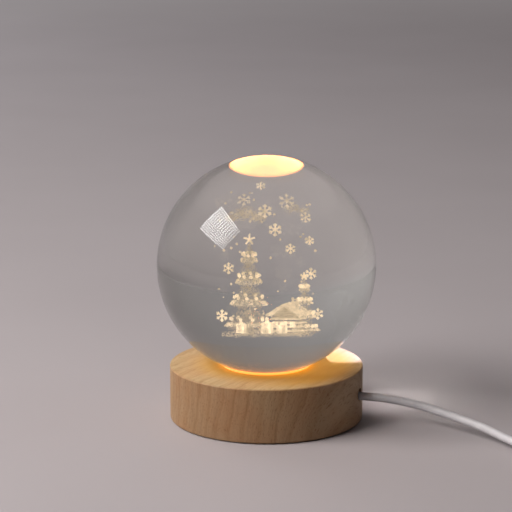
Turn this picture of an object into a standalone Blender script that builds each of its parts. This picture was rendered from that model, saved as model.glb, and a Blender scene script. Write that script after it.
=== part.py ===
# Crystal ball lamp: a ground glass ball on a turned wooden base with a warm LED light inside.
# The frame is in metres with +Z up. The origin is the middle of the base's underside, and the
# lead leaves the base along +X. Touching pieces keep the clearance SEAT_GAP to each other.

import math

import bmesh
import bpy
from mathutils import Matrix, Vector

for old in list(bpy.data.objects):
    bpy.data.objects.remove(old)

# Clearances and facets shared by all pieces
SEAT_GAP = 0.0003
CUT_OVERRUN = 0.0010
UNIT = 1.0
HALF_SHARE = 0.5
EMBED_SHARE = 0.7
WELD_SHARE = 0.001
FULL_TURN = 2 * math.pi
ROUND_SIDES = 20
SMOOTH_ANGLE = math.radians(35)

# Crystal ball
BALL_RADIUS = 0.0400
BALL_FLAT_RADIUS = 0.0177
BALL_SIDES = 56
BALL_RINGS = 22

# Laser figure in the ball: two firs, a cabin and parcels on a drift of snow. Places are
# measured from the middle of the drift, and the drift's underside from the ball's centre.
FIGURE_TURN = math.radians(16)
FIGURE_DROP = 0.0176
FIGURE_ROOM = 0.0004
FIGURE_PORT_RADIUS = 0.0005
DRIFT_RADIUS = 0.0108
DRIFT_THICKNESS = 0.0012
DRIFT_CROWN = 0.0010
DRIFT_CREST_SHARE = 0.6
DRIFT_SIDES = 24
FIR_TIERS = 4
FIR_SIDES = 9
FIR_TAPER_SHARE = 0.21
FIR_TUCK_SHARE = 0.42
FIR_STEM_RADIUS_SHARE = 0.22
FIR_STEM_HEIGHT_SHARE = 0.11
BIG_FIR_PLACE = Vector((-0.0042, 0.0004, 0))
BIG_FIR_HEIGHT = 0.0235
BIG_FIR_RADIUS = 0.0058
SMALL_FIR_PLACE = Vector((0.0086, 0.0046, 0))
SMALL_FIR_HEIGHT = 0.0135
SMALL_FIR_RADIUS = 0.0034
CABIN_PLACE = Vector((0.0052, -0.0006, 0))
CABIN_TURN = math.radians(-18)
CABIN_LENGTH = 0.0072
CABIN_DEPTH = 0.0056
CABIN_WALL_HEIGHT = 0.0050
ROOF_RISE = 0.0028
ROOF_EAVES = 0.0009
ROOF_THICKNESS = 0.0009
CHIMNEY_WIDTH = 0.0012
CHIMNEY_HEIGHT = 0.0085
CHIMNEY_OFFSET = 0.0018
PARCEL_SIZES = [
    (Vector((0.0002, -0.0052, 0)), 0.0030, 0.0026, math.radians(28)),
    (Vector((0.0039, -0.0066, 0)), 0.0025, 0.0021, math.radians(-17)),
    (Vector((-0.0064, -0.0062, 0)), 0.0024, 0.0023, math.radians(12)),
]

# Wooden base
BASE_RADIUS = 0.0355
BASE_TOP = 0.0203
BASE_UNDERSIDE = 0.0003
BASE_TOP_EDGE = 0.0003
BASE_FOOT_EDGE = 0.0008
BASE_FOOT_STEPS = 3
BASE_SIDES = 64
BASE_WALL = 0.0100
CEILING_THICKNESS = 0.0060
CEILING_LEDGE_SHARE = 0.36

# Light diffuser, pushed up into the base from below
DIFFUSER_STAND_PROUD = 0.0009
DIFFUSER_FLANGE_WIDTH = 0.0030
DIFFUSER_FLANGE_THICKNESS = 0.0026
DIFFUSER_CROWN_THICKNESS = 0.0022
DIFFUSER_WALL = 0.0020
DIFFUSER_EDGE = 0.0004
DIFFUSER_SIDES = 48

# LED board and what is soldered to it
BOARD_THICKNESS = 0.0016
BOARD_SIDES = 48
LED_COUNT = 6
LED_RING_SHARE = 0.68
LED_WIDTH = 0.0035
LED_HEIGHT = 0.0016
LED_EDGE = 0.0003
LED_WELL_RADIUS = 0.0013
LED_WELL_DEPTH = 0.0005
RESISTOR_LENGTH = 0.0064
RESISTOR_WIDTH = 0.0032
RESISTOR_HEIGHT = 0.0009
RESISTOR_EDGE = 0.0002
RESISTOR_SHARE = 0.48

# Wood screws of the board and of the bottom cover
SCREW_SHANK_RADIUS = 0.0010
SCREW_TIP_LENGTH = 0.0016
SCREW_HEAD_RADIUS = 0.0019
SCREW_HEAD_HEIGHT = 0.0012
SCREW_SLOT_WIDTH = 0.0005
SCREW_SLOT_DEPTH = 0.0004
SCREW_SIDES = 12
SCREW_COUNT = 3
BOARD_SCREW_LENGTH = 0.0055
BOARD_SCREW_ANGLE = math.radians(40)
COVER_SCREW_LENGTH = 0.0080
COVER_SCREW_ANGLE = math.radians(100)

# Bottom cover and anti-slip pad
PAD_THICKNESS = 0.0015
PAD_RIM = 0.0032
PAD_EDGE = 0.0003
COVER_THICKNESS = 0.0020
COVER_LEDGE = 0.0050
COVER_SIDES = 48

# Lead: a round two-core USB lead that leaves through a plain bore in the base
LEAD_RADIUS = 0.0015
LEAD_HEIGHT_AT_BORE = 0.0106
BORE_RADIUS = 0.0024
LEAD_POINT_STEP = 0.0060
LEAD_BEVEL_RESOLUTION = 2
CORE_RADIUS = 0.0006
CORE_SPREAD = 0.0008
CORE_BEVEL_RESOLUTION = 1

# Tie that holds the lead inside the base
STOP_TIE_THICKNESS = 0.0009
STOP_TIE_WIDTH = 0.0025
STOP_TIE_HEAD = 0.0036
STOP_TIE_HEAD_EDGE = 0.0004
STOP_TIE_SIDES = 16

# Coil in which the rest of the lead is put away
COIL_PLACE = Vector((0.0857, -0.0110, 0))
COIL_OUTER_RADIUS = 0.0204
COIL_PITCH = 0.0035
COIL_LAYERS = 4
COIL_TURNS_PER_LAYER = 2.5
COIL_START_ANGLE = math.radians(237.3)
COIL_POINTS_PER_TURN = 24
COIL_CLIMB_TURNS = 0.5
COIL_BEVEL_RESOLUTION = 1
COIL_TIE_ANGLE = math.radians(147.3)
COIL_TIE_THICKNESS = 0.0005
COIL_TIE_WIDTH = 0.0050
COIL_TIE_ROUND = 0.0020
COIL_TIE_ARC_STEPS = 5

# In-line rocker switch
SWITCH_OFFSET = Vector((0.0333, 0.0120, 0))
SWITCH_TURN = math.radians(90)
SWITCH_LENGTH = 0.0460
SWITCH_WIDTH = 0.0170
SWITCH_END_WIDTH = 0.0090
SWITCH_HALF_HEIGHT = 0.0061
SWITCH_END_HALF_HEIGHT = 0.0040
SWITCH_WALL = 0.0016
SWITCH_STATIONS = 12
SWITCH_ARC_STEPS = 10
SWITCH_SQUARENESS = 4.5
SWITCH_SWELL_SHARE = 0.5
LEAD_GRIP_DEPTH = 0.0050

# Rocker of the switch
ROCKER_LENGTH = 0.0148
ROCKER_WIDTH = 0.0078
ROCKER_TILT = math.radians(7)
ROCKER_PIVOT_HEIGHT = 0.0099
ROCKER_END_RISE = 0.0034
ROCKER_MIDDLE_RISE = 0.0023
ROCKER_SKIRT_DROP = 0.0006
ROCKER_KEEL_DROP = 0.0020
ROCKER_KEEL_HALF_LENGTH = 0.0022
ROCKER_NUB_DROP = 0.0026
ROCKER_NUB_PLACE = 0.0045
ROCKER_NUB_HALF_LENGTH = 0.0008
ROCKER_TOP_STEPS = 8
ROCKER_END_CLEARANCE = 0.0008
ROCKER_PIN_RADIUS = 0.0008
ROCKER_PIN_REACH = 0.0012
EAR_HALF_LENGTH = 0.0020
EAR_THICKNESS = 0.0018
EAR_DROP = 0.0016

# Contacts and screws of the switch
DECK_HEIGHT = 0.0050
DECK_HALF_WIDTH = 0.0020
DECK_HALF_LENGTH = 0.0140
CONTACT_WIDTH = 0.0024
CONTACT_THICKNESS = 0.0004
CONTACT_END = 0.0135
CONTACT_LAP = 0.0030
CONTACT_RAMP_START = -0.0040
CONTACT_RAMP_END = -0.0020
CONTACT_LEAF_END = 0.0055
SWITCH_SCREW_ALONG = 0.0112
SWITCH_SCREW_ACROSS = 0.0039
SWITCH_SCREW_SHANK_RADIUS = 0.0008
SWITCH_SCREW_HEAD_RADIUS = 0.0015
SWITCH_SCREW_LENGTH = 0.0080
SWITCH_BOSS_WALL = 0.0006
SWITCH_HEAD_SINK = 0.0016

# USB plug
PLUG_OFFSET = Vector((0.0240, 0.0485, 0.0040))
PLUG_TURN = math.radians(180)
PLUG_LENGTH = 0.0200
PLUG_WIDTH = 0.0158
PLUG_HEIGHT = 0.0080
PLUG_EDGE = 0.0014
PLUG_EDGE_STEPS = 3
RELIEF_LENGTH = 0.0090
RELIEF_BIG_RADIUS = 0.0031
RELIEF_SMALL_RADIUS = 0.0023
RELIEF_GROOVES = 3
RELIEF_GROOVE_DEPTH = 0.0004
RELIEF_GROOVE_SHARE = 0.2
RELIEF_SIDES = 20
USB_WIDTH = 0.0120
USB_HEIGHT = 0.0045
USB_WALL = 0.0003
USB_LENGTH = 0.0120
USB_SEAT_DEPTH = 0.0040
USB_TONGUE_THICKNESS = 0.0018
USB_TONGUE_SHORT = 0.0016
USB_BLOCK_LENGTH = 0.0040
USB_CONTACT_WIDTH = 0.0010
USB_CONTACT_THICKNESS = 0.0003
USB_CONTACT_LENGTH = 0.0062
USB_CONTACT_INNER = 0.0010
USB_CONTACT_OUTER = 0.0035
USB_WINDOW_WIDTH = 0.0022
USB_WINDOW_LENGTH = 0.0020
USB_WINDOW_PLACE = 0.0050
USB_WINDOW_ACROSS = 0.0030

# Places worked out from the sizes above
POCKET_RADIUS = BASE_RADIUS - BASE_WALL
LIGHT_HOLE_RADIUS = POCKET_RADIUS * (UNIT - CEILING_LEDGE_SHARE)
LEAD_MOUTH = Vector((BASE_RADIUS, 0, 0))
COIL_CENTRE = LEAD_MOUTH + COIL_PLACE
SWITCH_PLACE = COIL_CENTRE + SWITCH_OFFSET
PLUG_PLACE = COIL_CENTRE + PLUG_OFFSET
BALL_FLAT_DEPTH = math.sqrt(BALL_RADIUS ** 2 - BALL_FLAT_RADIUS ** 2)
DIFFUSER_TOP = BASE_TOP + DIFFUSER_STAND_PROUD
BALL_FLAT_HEIGHT = DIFFUSER_TOP + SEAT_GAP
BALL_CENTRE_HEIGHT = BALL_FLAT_HEIGHT + BALL_FLAT_DEPTH
DRIFT_MIDDLE = DRIFT_THICKNESS * HALF_SHARE
CEILING_HEIGHT = BASE_TOP - CEILING_THICKNESS
DIFFUSER_RADIUS = LIGHT_HOLE_RADIUS - SEAT_GAP
FLANGE_RADIUS = DIFFUSER_RADIUS + DIFFUSER_FLANGE_WIDTH
LED_RING_RADIUS = (DIFFUSER_RADIUS - DIFFUSER_WALL) * LED_RING_SHARE
FLANGE_BOTTOM = CEILING_HEIGHT
FLANGE_TOP = FLANGE_BOTTOM + DIFFUSER_FLANGE_THICKNESS
BOARD_RADIUS = POCKET_RADIUS - 2 * SEAT_GAP
RESISTOR_OFFSET = -BOARD_RADIUS * RESISTOR_SHARE
BOARD_TOP = CEILING_HEIGHT - SEAT_GAP
BOARD_BOTTOM = BOARD_TOP - BOARD_THICKNESS
BOARD_SCREW_RING = (FLANGE_RADIUS + BOARD_RADIUS) * HALF_SHARE
SCREW_HOLE_RADIUS = SCREW_SHANK_RADIUS + SEAT_GAP
PAD_RADIUS = BASE_RADIUS - PAD_RIM
PAD_SEAT = PAD_THICKNESS + SEAT_GAP
COVER_TOP = PAD_SEAT + COVER_THICKNESS
COVER_SEAT = COVER_TOP + SEAT_GAP
COVER_RADIUS = POCKET_RADIUS + COVER_LEDGE - SEAT_GAP
COVER_SCREW_RING = POCKET_RADIUS + COVER_LEDGE * HALF_SHARE
BORE_HEIGHT = LEAD_HEIGHT_AT_BORE - LEAD_RADIUS - SEAT_GAP + BORE_RADIUS
COIL_INNER_RADIUS = COIL_OUTER_RADIUS - COIL_PITCH * COIL_TURNS_PER_LAYER
COIL_FLOOR = COIL_TIE_THICKNESS + SEAT_GAP
COIL_FIRST_HEIGHT = COIL_FLOOR + LEAD_RADIUS
COIL_LAST_HEIGHT = COIL_FIRST_HEIGHT + COIL_PITCH * (COIL_LAYERS - 1)
SPLIT_LOW = SWITCH_HALF_HEIGHT
SPLIT_HIGH = SWITCH_HALF_HEIGHT + SEAT_GAP
SWITCH_LEAD_HEIGHT = (SPLIT_LOW + SPLIT_HIGH) * HALF_SHARE
SWITCH_TOP = SPLIT_HIGH + SWITCH_HALF_HEIGHT
LEAD_HOLE_RADIUS = LEAD_RADIUS + SEAT_GAP


# Routes of the lead's free stretches, chosen by hand. The one inside is measured from the
# pocket's wall, the first one outside from the mouth of the bore, the others from the coil.
ROUTE_INSIDE = [
    (0.0091, 0.0000, 0.0106),
    (0.0045, 0.0000, 0.0106),
    (0.0001, 0.0000, 0.0106),
    (-0.0037, 0.0004, 0.0096),
    (-0.0073, 0.0010, 0.0080),
    (-0.0109, 0.0012, 0.0072),
    (-0.0143, 0.0012, 0.0072),
]
ROUTE_TO_COIL = [
    (-0.0006, 0.0000, 0.0106),
    (0.0034, -0.0006, 0.0106),
    (0.0085, -0.0010, 0.0102),
    (0.0144, -0.0007, 0.0092),
    (0.0224, -0.0006, 0.0081),
    (0.0304, -0.0016, 0.0070),
    (0.0392, -0.0044, 0.0058),
    (0.0474, -0.0084, 0.0047),
    (0.0545, -0.0130, 0.0037),
    (0.0620, -0.0178, 0.0027),
]
ROUTE_TO_SWITCH = [
    (0.0088, -0.0262, 0.0114),
    (0.0180, -0.0273, 0.0095),
    (0.0264, -0.0250, 0.0077),
    (0.0314, -0.0194, 0.0066),
    (0.0333, -0.0148, 0.0063),
]
ROUTE_TO_PLUG = [
    (0.0333, 0.0378, 0.0062),
    (0.0325, 0.0428, 0.0056),
    (0.0299, 0.0463, 0.0047),
    (0.0260, 0.0484, 0.0041),
]


def route_from(place, route):
    """The points of a route that is measured from a place."""
    return [Vector(place) + Vector(point) for point in route]


def make_material(name, colour, roughness, metallic=0.0):
    material = bpy.data.materials.new(name)
    material.use_nodes = True
    shader = material.node_tree.nodes["Principled BSDF"]
    shader.inputs["Base Color"].default_value = (*colour, 1.0)
    shader.inputs["Roughness"].default_value = roughness
    shader.inputs["Metallic"].default_value = metallic
    material.diffuse_color = (*colour, 1.0)
    return material


CLEAR_GLASS = make_material("clear_glass", (0.86, 0.88, 0.89), 0.02)
LASER_POINTS = make_material("laser_points", (0.86, 0.74, 0.55), 0.80)
BEECH_WOOD = make_material("beech_wood", (0.52, 0.35, 0.21), 0.60)
OPAL_ACRYLIC = make_material("opal_acrylic", (1.00, 0.80, 0.46), 0.40)
WHITE_BOARD = make_material("white_circuit_board", (0.85, 0.85, 0.82), 0.45)
LED_WHITE = make_material("led_package", (0.95, 0.88, 0.60), 0.35)
RESISTOR_BLACK = make_material("resistor_black", (0.04, 0.04, 0.04), 0.50)
ZINC_STEEL = make_material("zinc_plated_steel", (0.62, 0.62, 0.60), 0.35, 1.0)
FIBRE_BOARD = make_material("brown_fibreboard", (0.24, 0.16, 0.10), 0.80)
BLACK_FOAM = make_material("black_foam", (0.03, 0.03, 0.03), 0.90)
GREY_PVC = make_material("light_grey_pvc", (0.62, 0.60, 0.59), 0.45)
RED_PVC = make_material("red_pvc", (0.60, 0.04, 0.03), 0.45)
BLACK_PVC = make_material("black_pvc", (0.03, 0.03, 0.03), 0.45)
CLEAR_NYLON = make_material("white_nylon", (0.85, 0.85, 0.82), 0.40)
WHITE_PLASTIC = make_material("white_plastic", (0.80, 0.79, 0.77), 0.40)
BRASS = make_material("brass_strip", (0.80, 0.58, 0.25), 0.30, 1.0)
NICKEL_STEEL = make_material("nickel_plated_steel", (0.70, 0.69, 0.66), 0.25, 1.0)
BLACK_INSULATOR = make_material("black_insulator", (0.02, 0.02, 0.02), 0.40)


def link(name, data, material, parent=None):
    """Put an object with this mesh or curve into the scene."""
    piece = bpy.data.objects.new(name, data)
    bpy.context.scene.collection.objects.link(piece)
    data.materials.append(material)
    piece.parent = parent
    return piece


def place_empty(name, location, turn_z=0.0, turn_x=0.0, parent=None):
    """An empty that carries the pieces of one group or one moving body."""
    empty = bpy.data.objects.new(name, None)
    bpy.context.scene.collection.objects.link(empty)
    empty.location = location
    empty.rotation_euler = (turn_x, 0, turn_z)
    empty.parent = parent
    return empty


def mesh_from(bm, name):
    bmesh.ops.remove_doubles(bm, verts=bm.verts, dist=SEAT_GAP * WELD_SHARE)
    bmesh.ops.recalc_face_normals(bm, faces=bm.faces)
    mesh = bpy.data.meshes.new(name)
    bm.to_mesh(mesh)
    bm.free()
    mesh.shade_smooth()
    mesh.set_sharp_from_angle(angle=SMOOTH_ANGLE)
    return mesh


def revolve(name, profile, sides, material, parent=None, centre=(0, 0)):
    """Turn an outline of (radius, height) points that starts and ends on the axis."""
    bm = bmesh.new()
    ring = [bm.verts.new((radius, 0, height)) for radius, height in profile]
    edges = [bm.edges.new(pair) for pair in zip(ring, ring[1:])]
    bmesh.ops.spin(bm, geom=ring + edges, cent=(0, 0, 0), axis=(0, 0, 1),
                   angle=FULL_TURN, steps=sides, use_merge=True)
    bmesh.ops.translate(bm, verts=bm.verts, vec=(centre[0], centre[1], 0))
    return link(name, mesh_from(bm, name), material, parent)


def cylinder(name, radius, low, high, axis, centre, sides, material, parent=None):
    """A plain cylinder along an axis, from low to high measured from its centre point."""
    bm = bmesh.new()
    bmesh.ops.create_cone(bm, cap_ends=True, segments=sides, radius1=radius,
                          radius2=radius, depth=high - low)
    bmesh.ops.translate(bm, verts=bm.verts, vec=(0, 0, (low + high) * HALF_SHARE))
    turn = Vector((0, 0, 1)).rotation_difference(Vector(axis)).to_matrix()
    bmesh.ops.rotate(bm, verts=bm.verts, cent=(0, 0, 0), matrix=turn)
    bmesh.ops.translate(bm, verts=bm.verts, vec=centre)
    return link(name, mesh_from(bm, name), material, parent)


def box(name, low, high, material, parent=None, edge=0.0, steps=1):
    """A block between two corners, with rounded edges if edge is given."""
    bm = bmesh.new()
    bmesh.ops.create_cube(bm, size=UNIT)
    low, high = Vector(low), Vector(high)
    bmesh.ops.scale(bm, verts=bm.verts, vec=high - low)
    bmesh.ops.translate(bm, verts=bm.verts, vec=(low + high) * HALF_SHARE)
    if edge > 0:
        bmesh.ops.bevel(bm, geom=bm.edges[:], offset=edge, segments=steps,
                        profile=HALF_SHARE, affect="EDGES")
    return link(name, mesh_from(bm, name), material, parent)


def extrude_outline(name, outline, half_width, material, parent=None):
    """Extrude an outline of (x, z) points to both sides along Y."""
    bm = bmesh.new()
    face = bm.faces.new([bm.verts.new((x, -half_width, z)) for x, z in outline])
    grown = bmesh.ops.extrude_face_region(bm, geom=[face])
    moved = [v for v in grown["geom"] if isinstance(v, bmesh.types.BMVert)]
    bmesh.ops.translate(bm, verts=moved, vec=(0, 2 * half_width, 0))
    return link(name, mesh_from(bm, name), material, parent)


def combine(piece, tool, operation):
    """Cut with, or join on, another solid. The tool isn't part of the lamp."""
    tool.hide_render = True
    tool.display_type = "WIRE"
    change = piece.modifiers.new(tool.name, "BOOLEAN")
    change.operation = operation
    change.object = tool


def cut(piece, tool):
    combine(piece, tool, "DIFFERENCE")


def join(piece, tool):
    combine(piece, tool, "UNION")


def arc(centre, radius, start, end, steps):
    """Points of an arc in a plane, from the start angle to the end angle."""
    angles = [start + (end - start) * i / steps for i in range(steps + 1)]
    return [(centre[0] + radius * math.cos(a), centre[1] + radius * math.sin(a)) for a in angles]


def smooth_route(points, step):
    """A smooth curve through the route's points, read about every step along it."""
    route = [Vector(p) for p in points]
    route = [2 * route[0] - route[1]] + route + [2 * route[-1] - route[-2]]
    smooth = []
    for before, start, end, after in zip(route, route[1:], route[2:], route[3:]):
        count = max(1, round((end - start).length / step))
        for i in range(count):
            t = i / count
            smooth.append(HALF_SHARE * (2 * start + (end - before) * t
                          + (2 * before - 5 * start + 4 * end - after) * t ** 2
                          + (3 * start - before - 3 * end + after) * t ** 3))
    return smooth + [route[-2]]


def tube(name, points, radius, resolution, material):
    """A round lead along a row of points, with flat ends."""
    curve = bpy.data.curves.new(name, "CURVE")
    curve.dimensions = "3D"
    curve.bevel_depth = radius
    curve.bevel_resolution = resolution
    curve.use_fill_caps = True
    spline = curve.splines.new("POLY")
    spline.points.add(len(points) - 1)
    for place, point in zip(spline.points, points):
        place.co = (*point, 1.0)
    return link(name, curve, material)


def ring_places(count, radius, start):
    """Points spread evenly on a circle about the lamp's axis."""
    angles = [start + FULL_TURN * i / count for i in range(count)]
    return [(radius * math.cos(a), radius * math.sin(a)) for a in angles]


BOARD_SCREW_PLACES = ring_places(SCREW_COUNT, BOARD_SCREW_RING, BOARD_SCREW_ANGLE)
COVER_SCREW_PLACES = ring_places(SCREW_COUNT, COVER_SCREW_RING, COVER_SCREW_ANGLE)


def turned_box(name, place, low, high, turn, parent):
    """A block of the laser figure, turned about its own upright through place."""
    block = box(name, low, high, LASER_POINTS, parent)
    block.data.transform(Matrix.Translation(place) @ Matrix.Rotation(turn, 4, "Z"))
    return block


def build_drift(parent):
    """The low drift of snow that everything in the figure stands on."""
    crest = (DRIFT_RADIUS * DRIFT_CREST_SHARE, DRIFT_THICKNESS + DRIFT_CROWN * DRIFT_CREST_SHARE)
    outline = [(0, 0), (DRIFT_RADIUS - DRIFT_MIDDLE, 0), (DRIFT_RADIUS, DRIFT_MIDDLE),
               (DRIFT_RADIUS - DRIFT_MIDDLE, DRIFT_THICKNESS), crest, (0, DRIFT_THICKNESS + DRIFT_CROWN)]
    return revolve("laser_figure", outline, DRIFT_SIDES, LASER_POINTS, parent)


def build_fir(name, place, height, radius, parent):
    """A fir tree: a stem, and tiers of branches that get narrower to the top."""
    stem = radius * FIR_STEM_RADIUS_SHARE
    foot = height * FIR_STEM_HEIGHT_SHARE
    tier_rise = (height - foot) / FIR_TIERS
    outline = [(0, DRIFT_MIDDLE), (stem, DRIFT_MIDDLE), (stem, foot)]
    for tier in range(FIR_TIERS):
        spread = radius * (UNIT - FIR_TAPER_SHARE * tier)
        outline.append((spread, foot + tier_rise * tier))
        if tier < FIR_TIERS - 1:
            outline.append((spread * FIR_TUCK_SHARE, foot + tier_rise * (tier + UNIT)))
    outline.append((0, height))
    return revolve(name, outline, FIR_SIDES, LASER_POINTS, parent, centre=(place.x, place.y))


def build_cabin(parent):
    """The cabin: its walls, a gabled roof with eaves, and a chimney."""
    half_length, half_depth = CABIN_LENGTH * HALF_SHARE, CABIN_DEPTH * HALF_SHARE
    walls = turned_box("cabin_walls", CABIN_PLACE, (-half_length, -half_depth, DRIFT_MIDDLE),
                       (half_length, half_depth, CABIN_WALL_HEIGHT), CABIN_TURN, parent)
    eaves = half_length + ROOF_EAVES
    low = CABIN_WALL_HEIGHT - ROOF_THICKNESS * HALF_SHARE
    gable = [(-eaves, low), (eaves, low), (eaves, low + ROOF_THICKNESS),
             (0, low + ROOF_THICKNESS + ROOF_RISE), (-eaves, low + ROOF_THICKNESS)]
    roof = extrude_outline("cabin_roof", gable, half_depth + ROOF_EAVES, LASER_POINTS, parent)
    roof.data.transform(Matrix.Translation(CABIN_PLACE) @ Matrix.Rotation(CABIN_TURN, 4, "Z"))
    half_chimney = CHIMNEY_WIDTH * HALF_SHARE
    chimney = turned_box("cabin_chimney", CABIN_PLACE,
                         (CHIMNEY_OFFSET - half_chimney, -half_chimney, CABIN_WALL_HEIGHT),
                         (CHIMNEY_OFFSET + half_chimney, half_chimney, CHIMNEY_HEIGHT), CABIN_TURN, parent)
    return [walls, roof, chimney]


def build_laser_figure(seat):
    """The figure of fine cracks in the glass, as the solid that the cracks fill."""
    place = place_empty("figure_place", (0, 0, BALL_FLAT_DEPTH - FIGURE_DROP), FIGURE_TURN, parent=seat)
    figure = build_drift(place)
    parts = [build_fir("big_fir", BIG_FIR_PLACE, BIG_FIR_HEIGHT, BIG_FIR_RADIUS, place),
             build_fir("small_fir", SMALL_FIR_PLACE, SMALL_FIR_HEIGHT, SMALL_FIR_RADIUS, place)]
    parts += build_cabin(place)
    for number, (spot, width, height, turn) in enumerate(PARCEL_SIZES, 1):
        half = width * HALF_SHARE
        parts.append(turned_box("parcel_" + str(number), spot, (-half, -half, DRIFT_MIDDLE),
                                (half, half, DRIFT_THICKNESS + height), turn, place))
    for part in parts:
        join(figure, part)
    return [figure] + parts


def room_for(solid, reach):
    """A copy of a solid with each face moved out by reach."""
    bm = bmesh.new()
    bm.from_mesh(solid.data)
    bm.normal_update()
    moves = [(vert, vert.normal * vert.calc_shell_factor() * reach) for vert in bm.verts]
    for vert, move in moves:
        vert.co += move
    return link(solid.name + "_room", mesh_from(bm, solid.name + "_room"), CLEAR_GLASS, solid.parent)


def build_crystal_ball():
    """A glass ball with a ground flat, which rests on the diffuser and lifts off."""
    seat = place_empty("ball_seat", (0, 0, BALL_FLAT_HEIGHT))
    start = -math.acos(BALL_FLAT_RADIUS / BALL_RADIUS)
    outline = arc((0, BALL_FLAT_DEPTH), BALL_RADIUS, start, math.pi / 2, BALL_RINGS)
    outline[-1] = (0, BALL_FLAT_DEPTH + BALL_RADIUS)
    glass = revolve("crystal_ball", [(0, 0)] + outline, BALL_SIDES, CLEAR_GLASS, seat)
    for solid in build_laser_figure(seat):
        cut(glass, room_for(solid, FIGURE_ROOM))
    cut(glass, cylinder("figure_port", FIGURE_PORT_RADIUS, -CUT_OVERRUN,
                        BALL_FLAT_DEPTH - FIGURE_DROP, (0, 0, 1), (0, 0, 0), FIR_SIDES, CLEAR_GLASS, seat))
    return glass


def build_wooden_base():
    """The turned base: light hole on top, stepped pocket below, lead bore in the wall."""
    outline = [
        (0, CEILING_HEIGHT),
        (POCKET_RADIUS, CEILING_HEIGHT),
        (POCKET_RADIUS, COVER_SEAT),
        (COVER_RADIUS + SEAT_GAP, COVER_SEAT),
        (COVER_RADIUS + SEAT_GAP, PAD_SEAT),
        (PAD_RADIUS + SEAT_GAP, PAD_SEAT),
        (PAD_RADIUS + SEAT_GAP, BASE_UNDERSIDE),
    ]
    foot_centre = (BASE_RADIUS - BASE_FOOT_EDGE, BASE_UNDERSIDE + BASE_FOOT_EDGE)
    outline += arc(foot_centre, BASE_FOOT_EDGE, -math.pi / 2, 0, BASE_FOOT_STEPS)
    outline += [
        (BASE_RADIUS, BASE_TOP - BASE_TOP_EDGE),
        (BASE_RADIUS - BASE_TOP_EDGE, BASE_TOP),
        (0, BASE_TOP),
    ]
    base = revolve("wooden_base", outline, BASE_SIDES, BEECH_WOOD)
    cut(base, cylinder("light_hole", LIGHT_HOLE_RADIUS, CEILING_HEIGHT - CUT_OVERRUN,
                       BASE_TOP + CUT_OVERRUN, (0, 0, 1), (0, 0, 0), DIFFUSER_SIDES, BEECH_WOOD))
    cut(base, cylinder("flange_seat", FLANGE_RADIUS + SEAT_GAP, CEILING_HEIGHT - CUT_OVERRUN,
                       FLANGE_TOP + SEAT_GAP, (0, 0, 1), (0, 0, 0), DIFFUSER_SIDES, BEECH_WOOD))
    cut(base, cylinder("lead_bore", BORE_RADIUS, POCKET_RADIUS - CUT_OVERRUN,
                       BASE_RADIUS + CUT_OVERRUN, (1, 0, 0), (0, 0, BORE_HEIGHT),
                       ROUND_SIDES, BEECH_WOOD))
    pilot_holes = [
        (BOARD_SCREW_PLACES, CEILING_HEIGHT - CUT_OVERRUN, BOARD_BOTTOM + BOARD_SCREW_LENGTH),
        (COVER_SCREW_PLACES, COVER_SEAT - CUT_OVERRUN, PAD_SEAT + COVER_SCREW_LENGTH),
    ]
    for group, (places, low, tip) in enumerate(pilot_holes):
        for i, (x, y) in enumerate(places):
            cut(base, cylinder(f"pilot_hole_{group}_{i}", SCREW_HOLE_RADIUS, low, tip + SEAT_GAP,
                               (0, 0, 1), (x, y, 0), SCREW_SIDES, BEECH_WOOD))
    return base


def build_light_diffuser():
    """An opal cup, open below, whose crown shows as the bright ring under the ball."""
    inner = DIFFUSER_RADIUS - DIFFUSER_WALL
    outline = [
        (0, DIFFUSER_TOP - DIFFUSER_CROWN_THICKNESS),
        (inner, DIFFUSER_TOP - DIFFUSER_CROWN_THICKNESS),
        (inner, FLANGE_BOTTOM),
        (FLANGE_RADIUS, FLANGE_BOTTOM),
        (FLANGE_RADIUS, FLANGE_TOP),
        (DIFFUSER_RADIUS, FLANGE_TOP),
        (DIFFUSER_RADIUS, DIFFUSER_TOP - DIFFUSER_EDGE),
        (DIFFUSER_RADIUS - DIFFUSER_EDGE, DIFFUSER_TOP),
        (0, DIFFUSER_TOP),
    ]
    return revolve("light_diffuser", outline, DIFFUSER_SIDES, OPAL_ACRYLIC)


def build_led_board():
    """The round circuit board, screwed to the pocket's ceiling under the diffuser."""
    outline = [(0, BOARD_BOTTOM), (BOARD_RADIUS, BOARD_BOTTOM), (BOARD_RADIUS, BOARD_TOP),
               (0, BOARD_TOP)]
    board = revolve("led_board", outline, BOARD_SIDES, WHITE_BOARD)
    for i, (x, y) in enumerate(BOARD_SCREW_PLACES):
        cut(board, cylinder(f"board_hole_{i}", SCREW_HOLE_RADIUS, BOARD_BOTTOM - CUT_OVERRUN,
                            BOARD_TOP + CUT_OVERRUN, (0, 0, 1), (x, y, 0), SCREW_SIDES,
                            WHITE_BOARD))


def build_led_chips():
    """Square LED packages in a ring, each with the round well of its phosphor."""
    low = BOARD_TOP + SEAT_GAP
    half = LED_WIDTH * HALF_SHARE
    for i, (x, y) in enumerate(ring_places(LED_COUNT, LED_RING_RADIUS, 0)):
        place = place_empty(f"led_place_{i + 1}", (x, y, low), math.atan2(y, x))
        chip = box(f"led_chip_{i + 1}", (-half, -half, 0), (half, half, LED_HEIGHT),
                   LED_WHITE, place, LED_EDGE)
        well = cylinder(f"led_well_{i + 1}", LED_WELL_RADIUS, LED_HEIGHT - LED_WELL_DEPTH,
                        LED_HEIGHT + CUT_OVERRUN, (0, 0, 1), (0, 0, 0), SCREW_SIDES,
                        LED_WHITE, place)
        cut(chip, well)


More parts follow.
